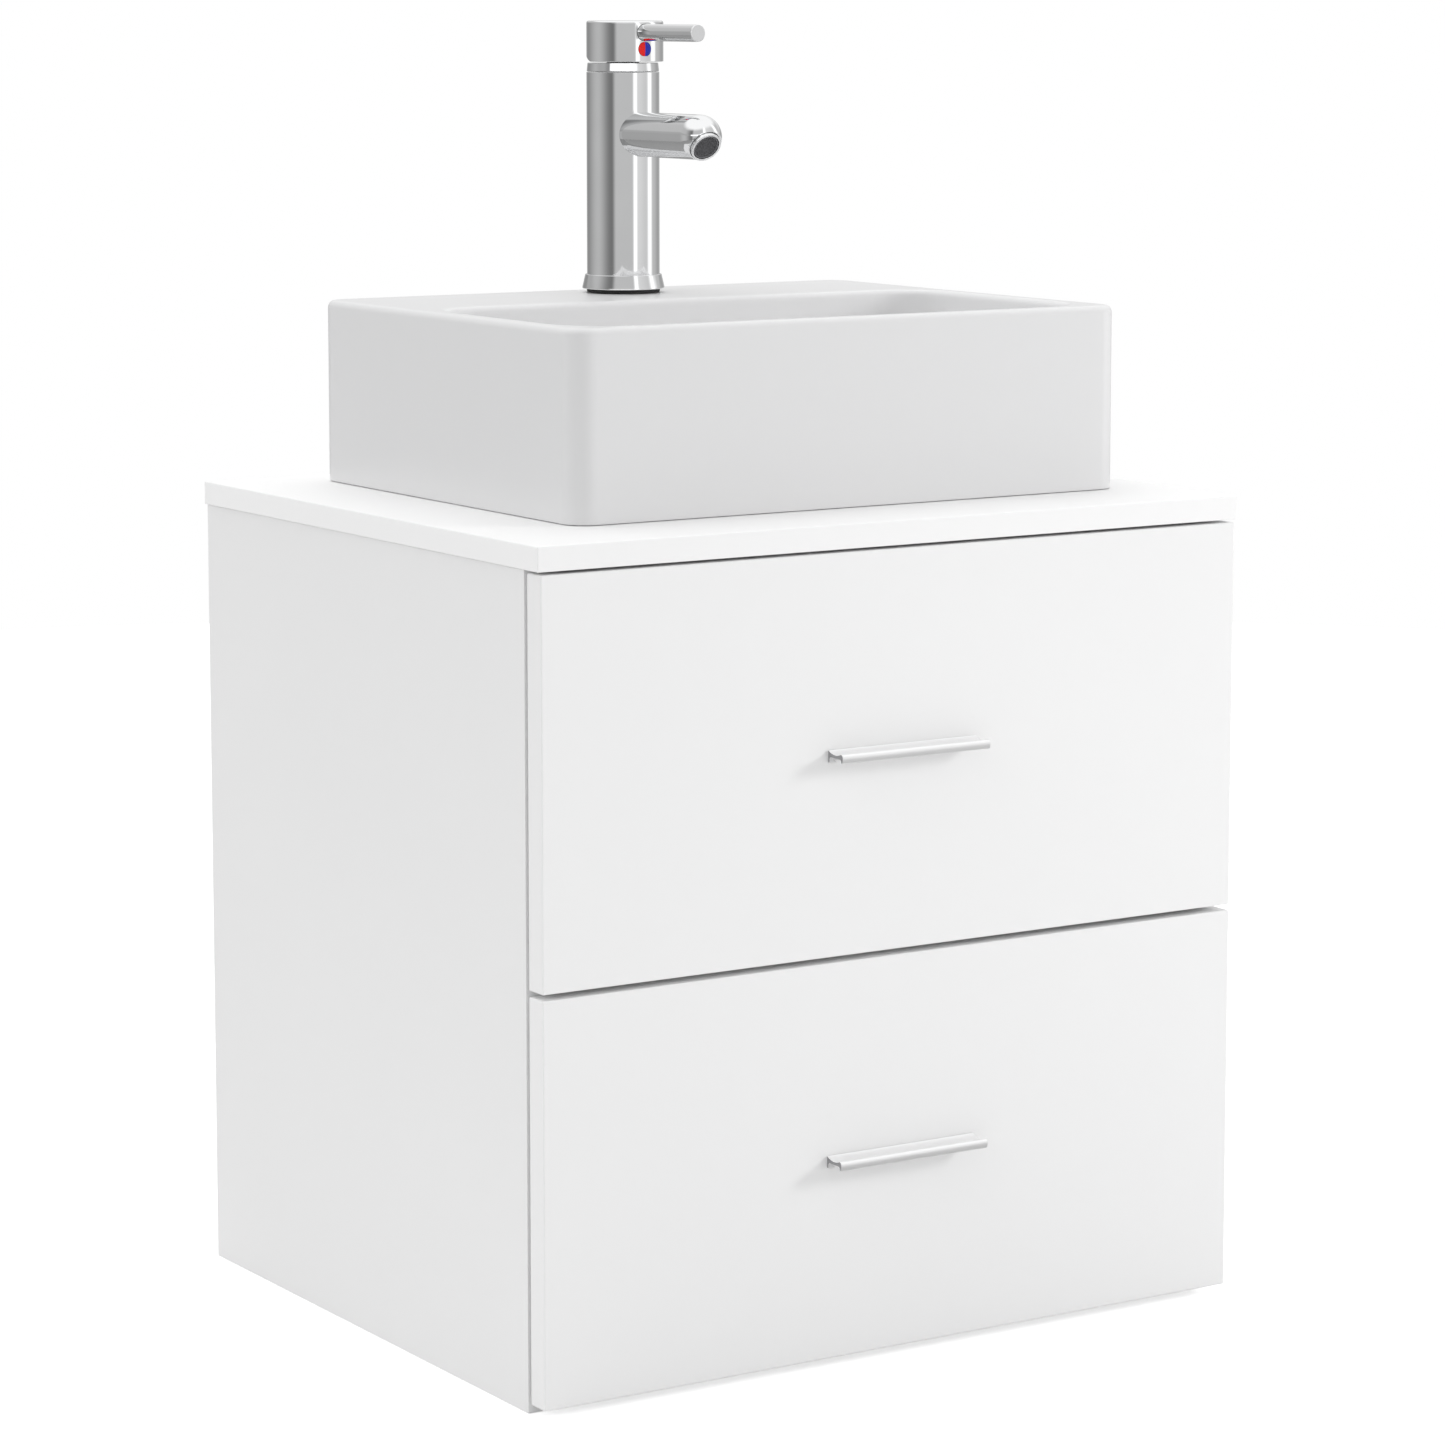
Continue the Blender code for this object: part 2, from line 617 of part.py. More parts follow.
def build_trap():
    centre = (WASTE_X, WASTE_Y, 0)
    shell = [
        (0.0140, 0.350), (0.0165, 0.350), (0.0165, 0.425), (0.0245, 0.425), (0.0245, 0.372),
        (TRAP_RADIUS, 0.372), (TRAP_RADIUS, 0.442), (0.0204, 0.442), (0.0204, 0.4316), (0.0140, 0.4316),
    ]
    body = add_piece("trap_body", turned(shell, centre, closed=True), "white_plastic")
    socket_end = WASTE_Y + 0.045
    fuse(
        body,
        "outlet_socket",
        rod(0.0190, (WASTE_X, WASTE_Y + 0.0255, OUTLET_Z), (WASTE_X, socket_end, OUTLET_Z), AXIAL_STEPS),
    )
    bore = rod(
        OUTLET_RADIUS + GAP,
        (WASTE_X, WASTE_Y + 0.0205, OUTLET_Z),
        (WASTE_X, socket_end + 0.01, OUTLET_Z),
        32,
    )
    carve(body, "outlet_bore", bore)

    cup = [
        (0, 0.335), (0.0260, 0.335), (0.0310, 0.341), (0.0310, 0.384), (0.0274, 0.384),
        (0.0274, 0.345), (0.0240, 0.3395), (0, 0.3395),
    ]
    add_piece("trap_cup", turned(cup, centre), "white_plastic")

    nut = [(0.0204, 0.4423), (TRAP_RADIUS, 0.4423), (0.0262, 0.456), (0.0204, 0.456)]
    add_piece("trap_inlet_nut", turned(nut, centre, closed=True), "white_plastic")

    pipe = [(0.0142, 0), (OUTLET_RADIUS, 0), (OUTLET_RADIUS, BACK_Y - WASTE_Y - 0.0275)]
    pipe.append((0.0142, BACK_Y - WASTE_Y - 0.0275))
    backwards = Matrix.Rotation(math.radians(-90), 3, "X")
    start = (WASTE_X, WASTE_Y + 0.0275, OUTLET_Z)
    add_piece("trap_outlet_pipe", turned(pipe, start, 32, closed=True, turn=backwards), "white_plastic")


def at_tap(x, y, height):
    """A point given from the tap's axis and the basin's ledge."""
    return (TAP_X + x, TAP_Y + y, BASIN_TOP_Z + height)


def aerator_direction():
    return Vector((0, -math.cos(AERATOR_TILT), -math.sin(AERATOR_TILT)))


def nose_centre():
    return Vector(at_tap(0, -SPOUT_STRAIGHT, SPOUT_HEIGHT))


def spout_shape():
    """The straight spout with its rounded nose, lying along -Y."""
    profile = [(0, 0.005), (SPOUT_RADIUS, 0.005), (SPOUT_RADIUS, SPOUT_STRAIGHT)]
    steps = 8
    power = 2.3
    for step in range(1, steps):
        angle = math.pi / 2 * step / steps
        reach = SPOUT_NOSE * math.sin(angle) ** (2 / power)
        profile.append((SPOUT_RADIUS * math.cos(angle) ** (2 / power), SPOUT_STRAIGHT + reach))
    profile.append((0, SPOUT_STRAIGHT + SPOUT_NOSE))
    forwards = Matrix.Rotation(math.radians(90), 3, "X")
    return turned(profile, at_tap(0, 0, SPOUT_HEIGHT), AXIAL_STEPS, turn=forwards)


def build_tap_body():
    profile = [(0, BODY_BASE), (BODY_RADIUS, BODY_BASE), (BODY_RADIUS, BODY_TOP), (0, BODY_TOP)]
    body = add_piece("tap_body", turned(profile, at_tap(0, 0, 0), 48), "chrome")
    fuse(body, "spout", spout_shape())

    down = aerator_direction()
    face = nose_centre() + down * 0.0090
    slab = rod(0.030, face, face + down * 0.030, 24)
    carve(body, "nose_cut", slab)
    pocket = rod(AERATOR_RADIUS + GAP, nose_centre() - down * 0.001, face + down * 0.01, 32)
    carve(body, "aerator_pocket", pocket)
    carve(body, "spout_bore", rod(SPOUT_BORE, at_tap(0, 0.004, SPOUT_HEIGHT), nose_centre(), 24))
    riser = rod(0.005, at_tap(0, -0.006, SPOUT_HEIGHT), at_tap(0, -0.006, CARTRIDGE_BASE + 0.010), 16)
    carve(body, "riser", riser)
    pocket = rod(
        CARTRIDGE_RADIUS + GAP, at_tap(0, 0, CARTRIDGE_BASE - GAP), at_tap(0, 0, BODY_TOP + 0.010), 40
    )
    carve(body, "cartridge_pocket", pocket)
    carve(body, "foot_recess", rod(0.019, at_tap(0, 0, -0.010), at_tap(0, 0, 0.022), 32))
    stud_hole = rod(
        STUD_RADIUS + GAP, at_tap(0, STUD_OFFSET, 0.015), at_tap(0, STUD_OFFSET, 0.040), 16
    )
    carve(body, "stud_hole", stud_hole)
    for side, sign in (("hot", -1), ("cold", 1)):
        port = rod(0.0050, at_tap(sign * 0.009, -0.006, 0.015), at_tap(sign * 0.009, -0.006, 0.036), 16)
        carve(body, f"{side}_port", port)


def build_tap_rings():
    centre = at_tap(0, 0, 0)
    add_piece("tap_gasket", ring(0.0195, 0.0239, GAP, 0.0024, centre), "black_rubber")
    foot = [(0.0241, 0.0027), (0.0269, 0.0027), (0.0269, 0.0037), (0.0250, 0.0120), (0.0241, 0.0120)]
    add_piece("tap_base_ring", turned(foot, centre, 48, closed=True), "chrome")
    trim = [
        (0.0112, 0.1439), (0.0234, 0.1439), (0.0236, 0.1444), (0.0231, 0.1493), (0.0228, 0.1496),
        (0.0112, 0.1496),
    ]
    add_piece("tap_trim_ring", turned(trim, centre, 48, closed=True), "chrome")


def build_cartridge(swivel):
    """The fixed cartridge, the carrier that turns in it and sets the temperature."""
    centre = at_tap(0, 0, 0)
    well = 0.011
    housing = [
        (0, CARTRIDGE_BASE), (CARTRIDGE_RADIUS - 0.001, CARTRIDGE_BASE),
        (CARTRIDGE_RADIUS, CARTRIDGE_BASE + 0.001), (CARTRIDGE_RADIUS, CARTRIDGE_TOP), (well, CARTRIDGE_TOP),
        (well, 0.130), (0, 0.130),
    ]
    add_piece("tap_cartridge", turned(housing, centre, 32), "grey_plastic")
    carrier = rod(0.0106, at_tap(0, 0, 0.1303), at_tap(0, 0, 0.152), 32)
    carrier = add_piece("tap_cartridge_carrier", carrier, "white_plastic", swivel)
    carve(carrier, "stem_slot", box(at_tap(-0.0046, -0.0062, 0.141), at_tap(0.0046, 0.0062, 0.160)))


def cap_shape():
    """The cap over the cartridge, hollow below."""
    cavity = 0.0205
    edge = 0.0016
    profile = [(0, CAP_CAVITY_TOP), (cavity, CAP_CAVITY_TOP), (cavity, CAP_BASE)]
    profile += [(CAP_RADIUS - 0.0005, CAP_BASE), (CAP_RADIUS, CAP_BASE + 0.0005)]
    profile += [(CAP_RADIUS, CAP_TOP - edge), (CAP_RADIUS - edge * 0.3, CAP_TOP - edge * 0.3)]
    profile += [(CAP_RADIUS - edge, CAP_TOP), (0, CAP_TOP)]
    return turned(profile, at_tap(0, CAP_SHIFT, 0), 48)


def skirt_wedge():
    """The wedge missing from the back of the cap's skirt, which lets the lever lift."""
    reach = 0.040
    rise = reach * math.tan(LIFT_ANGLE)
    outline = [(0.0, CAP_BASE), (reach, CAP_BASE + rise), (reach, CAP_BASE - 0.010), (0.0, CAP_BASE - 0.010)]
    points = [at_tap(-0.030, y, height) for y, height in outline]
    return prism(points, (0.060, 0, 0))


def build_lever(lift):
    """The cap, pin and stem that lift together, and the hot and cold marker on the cap."""
    cap = add_piece("tap_lever_cap", cap_shape(), "chrome", lift)
    carve(cap, "skirt_wedge", skirt_wedge())
    carve(cap, "stem_socket", box(at_tap(-0.0045, -0.0038, 0.158), at_tap(0.0045, 0.0038, 0.1685)))
    pin_bore = rod(PIN_RADIUS + GAP, at_tap(0, PIN_ROOT + GAP, PIN_HEIGHT), at_tap(0, -0.040, PIN_HEIGHT))
    carve(cap, "pin_bore", pin_bore)
    front = CAP_SHIFT - CAP_RADIUS
    seat_back = at_tap(0, front + 0.0016, DISC_HEIGHT)
    seat = rod(DISC_RADIUS + GAP, seat_back, at_tap(0, front - 0.010, DISC_HEIGHT))
    carve(cap, "disc_seat", seat)
    disc = rod(DISC_RADIUS, at_tap(0, front + 0.0013, DISC_HEIGHT), at_tap(0, front + 0.0001, DISC_HEIGHT))
    add_piece("tap_temperature_disc", disc, "marker_red_blue", lift)
    pin = rod(PIN_RADIUS, at_tap(0, PIN_ROOT, PIN_HEIGHT), at_tap(0, PIN_TIP, PIN_HEIGHT), 32, 0.0005)
    add_piece("tap_lever_pin", pin, "chrome", lift)
    stem = box(at_tap(-0.0042, -0.0035, 0.1425), at_tap(0.0042, 0.0035, 0.1682))
    add_piece("tap_lever_stem", stem, "grey_plastic", lift)


def build_aerator():
    down = aerator_direction()
    turn = down.to_track_quat("Z", "Y").to_matrix()
    lip = SCREEN_RADIUS + GAP
    collar = [
        (0.0070, -0.0005), (AERATOR_RADIUS, -0.0005), (AERATOR_RADIUS, AERATOR_FACE - 0.0004),
        (AERATOR_RADIUS - 0.0004, AERATOR_FACE), (lip, AERATOR_FACE), (lip, AERATOR_FACE - 0.0040),
        (0.0070, AERATOR_FACE - 0.0040),
    ]
    add_piece("tap_aerator", turned(collar, nose_centre(), 32, closed=True, turn=turn), "chrome")
    screen_face = nose_centre() + down * (AERATOR_FACE - 0.0008)
    screen_back = nose_centre() + down * (AERATOR_FACE - 0.0037)
    add_piece("tap_aerator_screen", rod(SCREEN_RADIUS, screen_back, screen_face), "dark_screen")


def build_tap_fixing():
    """The stud, horseshoe plate and nut that clamp the tap to the ledge."""
    underside = -LEDGE_UNDERSIDE - GAP
    stud = rod(STUD_RADIUS, at_tap(0, STUD_OFFSET, 0.038), at_tap(0, STUD_OFFSET, -0.058), 16, 0.0006)
    add_piece("tap_stud", stud, "steel")
    plate = rod(0.024, at_tap(0, 0, underside - 0.003), at_tap(0, 0, underside), 32)
    plate = add_piece("tap_clamp_plate", plate, "steel")
    carve(plate, "hose_slot", box(at_tap(-0.013, -0.030, -0.030), at_tap(0.013, 0.003, -0.010)))
    hole = rod(0.0045, at_tap(0, STUD_OFFSET, -0.030), at_tap(0, STUD_OFFSET, -0.010), 16)
    carve(plate, "stud_hole", hole)
    nut_top = underside - 0.003 - GAP
    nut = rod(0.0075, at_tap(0, STUD_OFFSET, nut_top - 0.0065), at_tap(0, STUD_OFFSET, nut_top), 6)
    nut = add_piece("tap_stud_nut", nut, "steel")
    bore = rod(STUD_RADIUS + GAP, at_tap(0, STUD_OFFSET, -0.040), at_tap(0, STUD_OFFSET, -0.010), 16)
    carve(nut, "thread", bore)


def build_tap():
    swivel = add_joint("tap_swivel", at_tap(0, 0, LIFT_PIVOT))
    lift = add_joint("tap_lift", at_tap(0, 0, LIFT_PIVOT))
    build_tap_body()
    build_tap_rings()
    build_cartridge(swivel)
    build_lever(lift)
    build_aerator()
    build_tap_fixing()


def main():
    clear_scene()
    build_carcass()
    build_hangers()
    for level in DRAWERS:
        build_drawer(level)
    build_basin()
    build_waste()
    build_trap()
    build_tap()


main()
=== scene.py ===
"""Visual model of a wall-hung two-drawer vanity with a vessel basin, a pin-lever tap and its drainage.

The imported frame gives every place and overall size. Each sub-assembly below is a class that builds its
pieces in the frame's own metres (+Z up, +Y towards the wall) and dresses them in a finish.
"""

import json
import logging
import math
from collections.abc import Callable, Iterable, Sequence
from dataclasses import dataclass
from enum import Enum

import bmesh
import bpy
from mathutils import Matrix, Vector

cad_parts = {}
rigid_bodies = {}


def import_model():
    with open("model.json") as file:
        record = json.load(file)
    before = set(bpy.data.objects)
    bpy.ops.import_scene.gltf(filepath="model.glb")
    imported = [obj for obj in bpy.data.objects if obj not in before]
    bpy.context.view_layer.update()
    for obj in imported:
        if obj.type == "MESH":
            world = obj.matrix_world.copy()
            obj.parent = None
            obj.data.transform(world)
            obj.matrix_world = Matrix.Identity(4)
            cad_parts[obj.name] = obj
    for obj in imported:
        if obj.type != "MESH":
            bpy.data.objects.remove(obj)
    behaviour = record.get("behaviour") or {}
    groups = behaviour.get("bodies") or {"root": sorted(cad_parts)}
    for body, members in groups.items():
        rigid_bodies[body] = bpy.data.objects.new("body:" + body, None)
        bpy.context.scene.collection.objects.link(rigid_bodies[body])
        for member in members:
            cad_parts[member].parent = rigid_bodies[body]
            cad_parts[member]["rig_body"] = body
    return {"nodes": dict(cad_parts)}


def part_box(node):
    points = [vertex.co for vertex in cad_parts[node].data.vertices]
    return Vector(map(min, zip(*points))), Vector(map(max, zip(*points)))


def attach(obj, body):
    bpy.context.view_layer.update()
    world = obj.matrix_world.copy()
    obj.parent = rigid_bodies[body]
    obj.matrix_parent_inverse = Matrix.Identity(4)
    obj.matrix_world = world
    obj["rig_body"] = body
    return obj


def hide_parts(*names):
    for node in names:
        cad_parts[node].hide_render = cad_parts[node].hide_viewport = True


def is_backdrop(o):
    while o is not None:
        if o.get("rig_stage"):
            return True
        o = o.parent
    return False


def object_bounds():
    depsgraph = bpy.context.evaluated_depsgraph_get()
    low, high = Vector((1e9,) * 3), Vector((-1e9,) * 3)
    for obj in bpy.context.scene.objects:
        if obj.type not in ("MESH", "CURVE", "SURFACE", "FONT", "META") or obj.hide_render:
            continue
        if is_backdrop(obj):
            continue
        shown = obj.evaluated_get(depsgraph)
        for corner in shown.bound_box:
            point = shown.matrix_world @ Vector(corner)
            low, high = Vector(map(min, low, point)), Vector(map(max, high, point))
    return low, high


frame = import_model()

log = logging.getLogger("vanity")

Colour = tuple[float, float, float]
Profile = Sequence[tuple[float, float]]
Bands = tuple[tuple[float, float], ...]
Layers = tuple[tuple[tuple[float, float], Bands], ...]
Tone = tuple[float, float, Colour, Colour]  # scale, detail, light colour, dark colour
Gloss = tuple[float, float, float, float]  # scale, detail, low roughness, high roughness
Relief = tuple[float, float, float, float]  # scale, detail, depth in metres, strength

CLEARANCE = 0.0003  # air between pieces that rest on each other
TURN_STEPS = 96  # sides of a turned piece
SMALL_TURN_STEPS = 48  # sides of a small turned piece
CREASE = math.radians(32)  # a fold sharper than this is an edge
FLAT = math.radians(0.5)  # a fold shallower than this is no fold
MERGE = 1e-6  # points closer than this are one
NOISE_RANGE = (0.25, 0.75)  # nearly all of a noise's output lies between these
FORWARDS = Vector((0, -1, 0))
BACKWARDS = Vector((0, 1, 0))
SIDES = {"left": -1, "right": 1}
LEVELS = ("upper", "lower")


# ---------------------------------------------------------------- shader effects


class NodeBench:
    """Adds and joins the nodes of one shader tree."""

    def __init__(self, tree: bpy.types.NodeTree) -> None:
        """Works on a tree.

        Args:
            tree: The node tree of a material, a world or a group.
        """
        self.tree = tree

    def add(self, kind: str, **settings: object) -> bpy.types.Node:
        """Makes a node.

        Args:
            kind: The node's type, such as ShaderNodeBump.
            settings: Properties to set on it.

        Returns:
            The new node.
        """
        node = self.tree.nodes.new(kind)
        for name, value in settings.items():
            setattr(node, name, value)
        return node

    def join(self, source: bpy.types.NodeSocket, target: bpy.types.NodeSocket) -> None:
        """Links an output to an input."""
        self.tree.links.new(source, target)

    def sum_of(self, operation: str, first: object, second: object = 0.0) -> bpy.types.NodeSocket:
        """Makes a Math node.

        Args:
            operation: Its operation, such as MULTIPLY.
            first: A socket or a number.
            second: A socket or a number.

        Returns:
            The result's socket.
        """
        node = self.add("ShaderNodeMath", operation=operation)
        for socket, value in zip(node.inputs, (first, second)):
            if isinstance(value, bpy.types.NodeSocket):
                self.join(value, socket)
            else:
                socket.default_value = value
        return node.outputs["Value"]

    def ramp(self, factor: bpy.types.NodeSocket, stops: Sequence[tuple[float, Colour]],
             blend: str = "EASE") -> bpy.types.NodeSocket:
        """Makes a Color Ramp.

        Args:
            factor: What drives it.
            stops: Position and colour of each stop, in order.
            blend: Its interpolation.

        Returns:
            The colour's socket.
        """
        node = self.add("ShaderNodeValToRGB")
        node.color_ramp.interpolation = blend
        elements = node.color_ramp.elements
        while len(elements) < len(stops):
            elements.new(0.5)
        for element, (position, colour) in zip(elements, stops):
            element.position = position
            element.color = (*colour, 1.0)
        self.join(factor, node.inputs["Fac"])
        return node.outputs["Color"]

    def place(self, centre: Vector | None = None, stretch: tuple[float, float, float] = (1, 1, 1),
              turn: tuple[float, float, float] = (0, 0, 0)) -> bpy.types.NodeSocket:
        """Object coordinates, centred and stretched for a pattern.

        Args:
            centre: Where the pattern's own origin lies.
            stretch: Repeats along each axis for one repeat of the plain pattern.
            turn: Turn of the pattern, in radians.

        Returns:
            The coordinates' socket.
        """
        source = self.add("ShaderNodeTexCoord").outputs["Object"]
        mapping = self.add("ShaderNodeMapping", vector_type="TEXTURE")
        mapping.inputs["Location"].default_value = centre or (0, 0, 0)
        mapping.inputs["Rotation"].default_value = turn
        mapping.inputs["Scale"].default_value = [1 / value for value in stretch]
        self.join(source, mapping.inputs["Vector"])
        return mapping.outputs["Vector"]

    def use(self, effect: "Effect", place: bpy.types.NodeSocket, **values: object) -> bpy.types.NodeSocket:
        """Places a shared effect.

        Args:
            effect: Which effect.
            place: Its coordinates.
            values: Its input values by name.

        Returns:
            The effect's only output.
        """
        node = self.add("ShaderNodeGroup", node_tree=effect.tree())
        self.join(place, node.inputs["Vector"])
        for name, value in values.items():
            node.inputs[name].default_value = (*value, 1.0) if isinstance(value, tuple) else value
        return node.outputs[0]

    def bump(self, height: bpy.types.NodeSocket, depth: float, strength: float,
             under: bpy.types.NodeSocket | None = None) -> bpy.types.NodeSocket:
        """A Bump node over another, if any.

        Args:
            height: What lifts the surface, from 0 to 1.
            depth: The full height in metres.
            strength: How much of it shows.
            under: The normal of a coarser relief.

        Returns:
            The normal's socket.
        """
        node = self.add("ShaderNodeBump")
        node.inputs["Distance"].default_value = depth
        node.inputs["Strength"].default_value = strength
        self.join(height, node.inputs["Height"])
        if under:
            self.join(under, node.inputs["Normal"])
        return node.outputs["Normal"]

    def surface(self, shader: bpy.types.Node, place: bpy.types.NodeSocket, tone: Tone | None = None,
                gloss: Gloss | None = None, relief: Relief | None = None) -> None:
        """Feeds the shared effects into a shader.

        Args:
            shader: The material's Principled shader.
            place: The patterns' coordinates.
            tone: How the colour drifts, if it does.
            gloss: How the roughness drifts, if it does.
            relief: What lifts the surface, if anything does.
        """
        if tone:
            scale, detail, light, dark = tone
            colour = self.use(Effect.TONE, place, Scale=scale, Detail=detail, Light=light, Dark=dark)
            self.join(colour, shader.inputs["Base Color"])
        if gloss:
            scale, detail, low, high = gloss
            roughness = self.use(Effect.GLOSS, place, Scale=scale, Detail=detail, Low=low, High=high)
            self.join(roughness, shader.inputs["Roughness"])
        if relief:
            scale, detail, depth, strength = relief
            height = self.use(Effect.RELIEF, place, Scale=scale, Detail=detail)
            self.join(self.bump(height, depth, strength), shader.inputs["Normal"])


class Effect(Enum):
    """Shader effects that several finishes share, each built once as a node group."""

    RELIEF = "fine_relief"
    TONE = "tone_drift"
    GLOSS = "gloss_drift"
    SPECKS = "fine_specks"

    def tree(self) -> bpy.types.ShaderNodeTree:
        """The effect's node group."""
        found = bpy.data.node_groups.get(self.value)
        if found:
            return found
        made = bpy.data.node_groups.new(self.value, "ShaderNodeTree")
        socket = made.interface.new_socket("Vector", in_out="INPUT", socket_type="NodeSocketVector")
        socket.default_value = (0, 0, 0)
        for name in ("Scale", "Size" if self is Effect.SPECKS else "Detail"):
            made.interface.new_socket(name, in_out="INPUT", socket_type="NodeSocketFloat")
        bench = NodeBench(made)
        builders = {
            Effect.RELIEF: self._relief, Effect.TONE: self._tone,
            Effect.GLOSS: self._gloss, Effect.SPECKS: self._specks,
        }
        builders[self](bench)
        return made

    @staticmethod
    def _noise(bench: NodeBench, source: bpy.types.Node) -> bpy.types.NodeSocket:
        """Noise of the group's own scale and detail, stretched to use about the whole range from 0 to 1."""
        noise = bench.add("ShaderNodeTexNoise")
        bench.join(source.outputs["Vector"], noise.inputs["Vector"])
        bench.join(source.outputs["Scale"], noise.inputs["Scale"])
        bench.join(source.outputs["Detail"], noise.inputs["Detail"])
        spread = bench.add("ShaderNodeMapRange", clamp=False)
        spread.inputs["From Min"].default_value, spread.inputs["From Max"].default_value = NOISE_RANGE
        bench.join(noise.outputs["Fac"], spread.inputs["Value"])
        return spread.outputs["Result"]

    def _relief(self, bench: NodeBench) -> None:
        """A soft random height."""
        self.tree_output(bench, "Height", "NodeSocketFloat")
        source, result = bench.add("NodeGroupInput"), bench.add("NodeGroupOutput")
        bench.join(self._noise(bench, source), result.inputs["Height"])

    def _tone(self, bench: NodeBench) -> None:
        """A slow drift between two colours."""
        for name in ("Light", "Dark"):
            bench.tree.interface.new_socket(name, in_out="INPUT", socket_type="NodeSocketColor")
        self.tree_output(bench, "Colour", "NodeSocketColor")
        source, result = bench.add("NodeGroupInput"), bench.add("NodeGroupOutput")
        blend = bench.add("ShaderNodeMix", data_type="RGBA")
        bench.join(self._noise(bench, source), blend.inputs["Factor"])
        bench.join(source.outputs["Light"], blend.inputs["A"])
        bench.join(source.outputs["Dark"], blend.inputs["B"])
        bench.join(blend.outputs["Result"], result.inputs["Colour"])

    def _gloss(self, bench: NodeBench) -> None:
        """A drift between two roughness values."""
        for name in ("Low", "High"):
            bench.tree.interface.new_socket(name, in_out="INPUT", socket_type="NodeSocketFloat")
        self.tree_output(bench, "Roughness", "NodeSocketFloat")
        source, result = bench.add("NodeGroupInput"), bench.add("NodeGroupOutput")
        spread = bench.add("ShaderNodeMapRange")
        bench.join(self._noise(bench, source), spread.inputs["Value"])
        bench.join(source.outputs["Low"], spread.inputs["To Min"])
        bench.join(source.outputs["High"], spread.inputs["To Max"])
        bench.join(spread.outputs["Result"], result.inputs["Roughness"])

    def _specks(self, bench: NodeBench) -> None:
        """A mask of small separate specks, 1 inside a speck."""
        self.tree_output(bench, "Mask", "NodeSocketFloat")
        source, result = bench.add("NodeGroupInput"), bench.add("NodeGroupOutput")
        cells = bench.add("ShaderNodeTexVoronoi")
        bench.join(source.outputs["Vector"], cells.inputs["Vector"])
        bench.join(source.outputs["Scale"], cells.inputs["Scale"])
        inside = bench.add("ShaderNodeMapRange", interpolation_type="SMOOTHSTEP")
        bench.join(cells.outputs["Distance"], inside.inputs["Value"])
        bench.join(source.outputs["Size"], inside.inputs["From Max"])
        inside.inputs["To Min"].default_value = 1.0
        inside.inputs["To Max"].default_value = 0.0
        bench.join(inside.outputs["Result"], result.inputs["Mask"])

    @staticmethod
    def tree_output(bench: NodeBench, name: str, kind: str) -> None:
        """Gives the group its output."""
        bench.tree.interface.new_socket(name, in_out="OUTPUT", socket_type=kind)


# ---------------------------------------------------------------- finishes


@dataclass(frozen=True)
class Finish:
    """A surface finish, which makes its own Blender material once."""

    name: str

    def material(self) -> bpy.types.Material:
        """The finish's material."""
        found = bpy.data.materials.get(self.name)
        if found:
            return found
        made = bpy.data.materials.new(self.name)
        made.use_nodes = True
        self.dress(NodeBench(made.node_tree), made.node_tree.nodes["Principled BSDF"])
        return made

    def dress(self, bench: NodeBench, shader: bpy.types.Node) -> None:
        """Wires the finish's nodes.

        Args:
            bench: Makes and joins the nodes.
            shader: The material's Principled shader.
        """
        raise NotImplementedError


@dataclass(frozen=True)
class BoardFinish(Finish):
    """Lacquer or melamine on board: a faint orange peel, a slow drift of tone and of gloss."""

    light: Colour
    dark: Colour
    roughness: tuple[float, float] = (0.30, 0.38)
    peel_scale: float = 420.0
    peel_depth: float = 0.00006
    peel_strength: float = 0.12
    pearl_strength: float = 0.0  # fine embossing of melamine
    shine: float = 0.45

    def dress(self, bench: NodeBench, shader: bpy.types.Node) -> None:
        """Wires tone, gloss, orange peel and embossing."""
        place = bench.place()
        bench.surface(shader, place, (2.2, 2.0, self.light, self.dark), (9.0, 3.0, *self.roughness))
        peel = bench.use(Effect.RELIEF, place, Scale=self.peel_scale, Detail=1.0)
        normal = bench.bump(peel, self.peel_depth, self.peel_strength)
        if self.pearl_strength:
            pearl = bench.use(Effect.SPECKS, place, Scale=1500.0, Size=0.5)
            normal = bench.bump(pearl, 0.00003, self.pearl_strength, normal)
        bench.join(normal, shader.inputs["Normal"])
        shader.inputs["Specular IOR Level"].default_value = self.shine


@dataclass(frozen=True)
class ChipCore(Finish):
    """Raw particle board where a hole is cut through it."""

    pale: Colour = (0.62, 0.47, 0.30)
    brown: Colour = (0.30, 0.19, 0.10)

    def dress(self, bench: NodeBench, shader: bpy.types.Node) -> None:
        """Wires chips of several browns."""
        place = bench.place(stretch=(1, 1, 2.4))
        cells = bench.add("ShaderNodeTexVoronoi")
        cells.inputs["Scale"].default_value = 420.0
        bench.join(place, cells.inputs["Vector"])
        shade = bench.sum_of("MULTIPLY", cells.outputs["Distance"], 1.6)
        colour = bench.ramp(shade, ((0.0, self.pale), (0.55, (0.46, 0.33, 0.19)), (1.0, self.brown)))
        bench.join(colour, shader.inputs["Base Color"])
        bench.surface(shader, place, gloss=(300.0, 4.0, 0.78, 0.95))
        bench.join(bench.bump(cells.outputs["Distance"], 0.0006, 0.7), shader.inputs["Normal"])


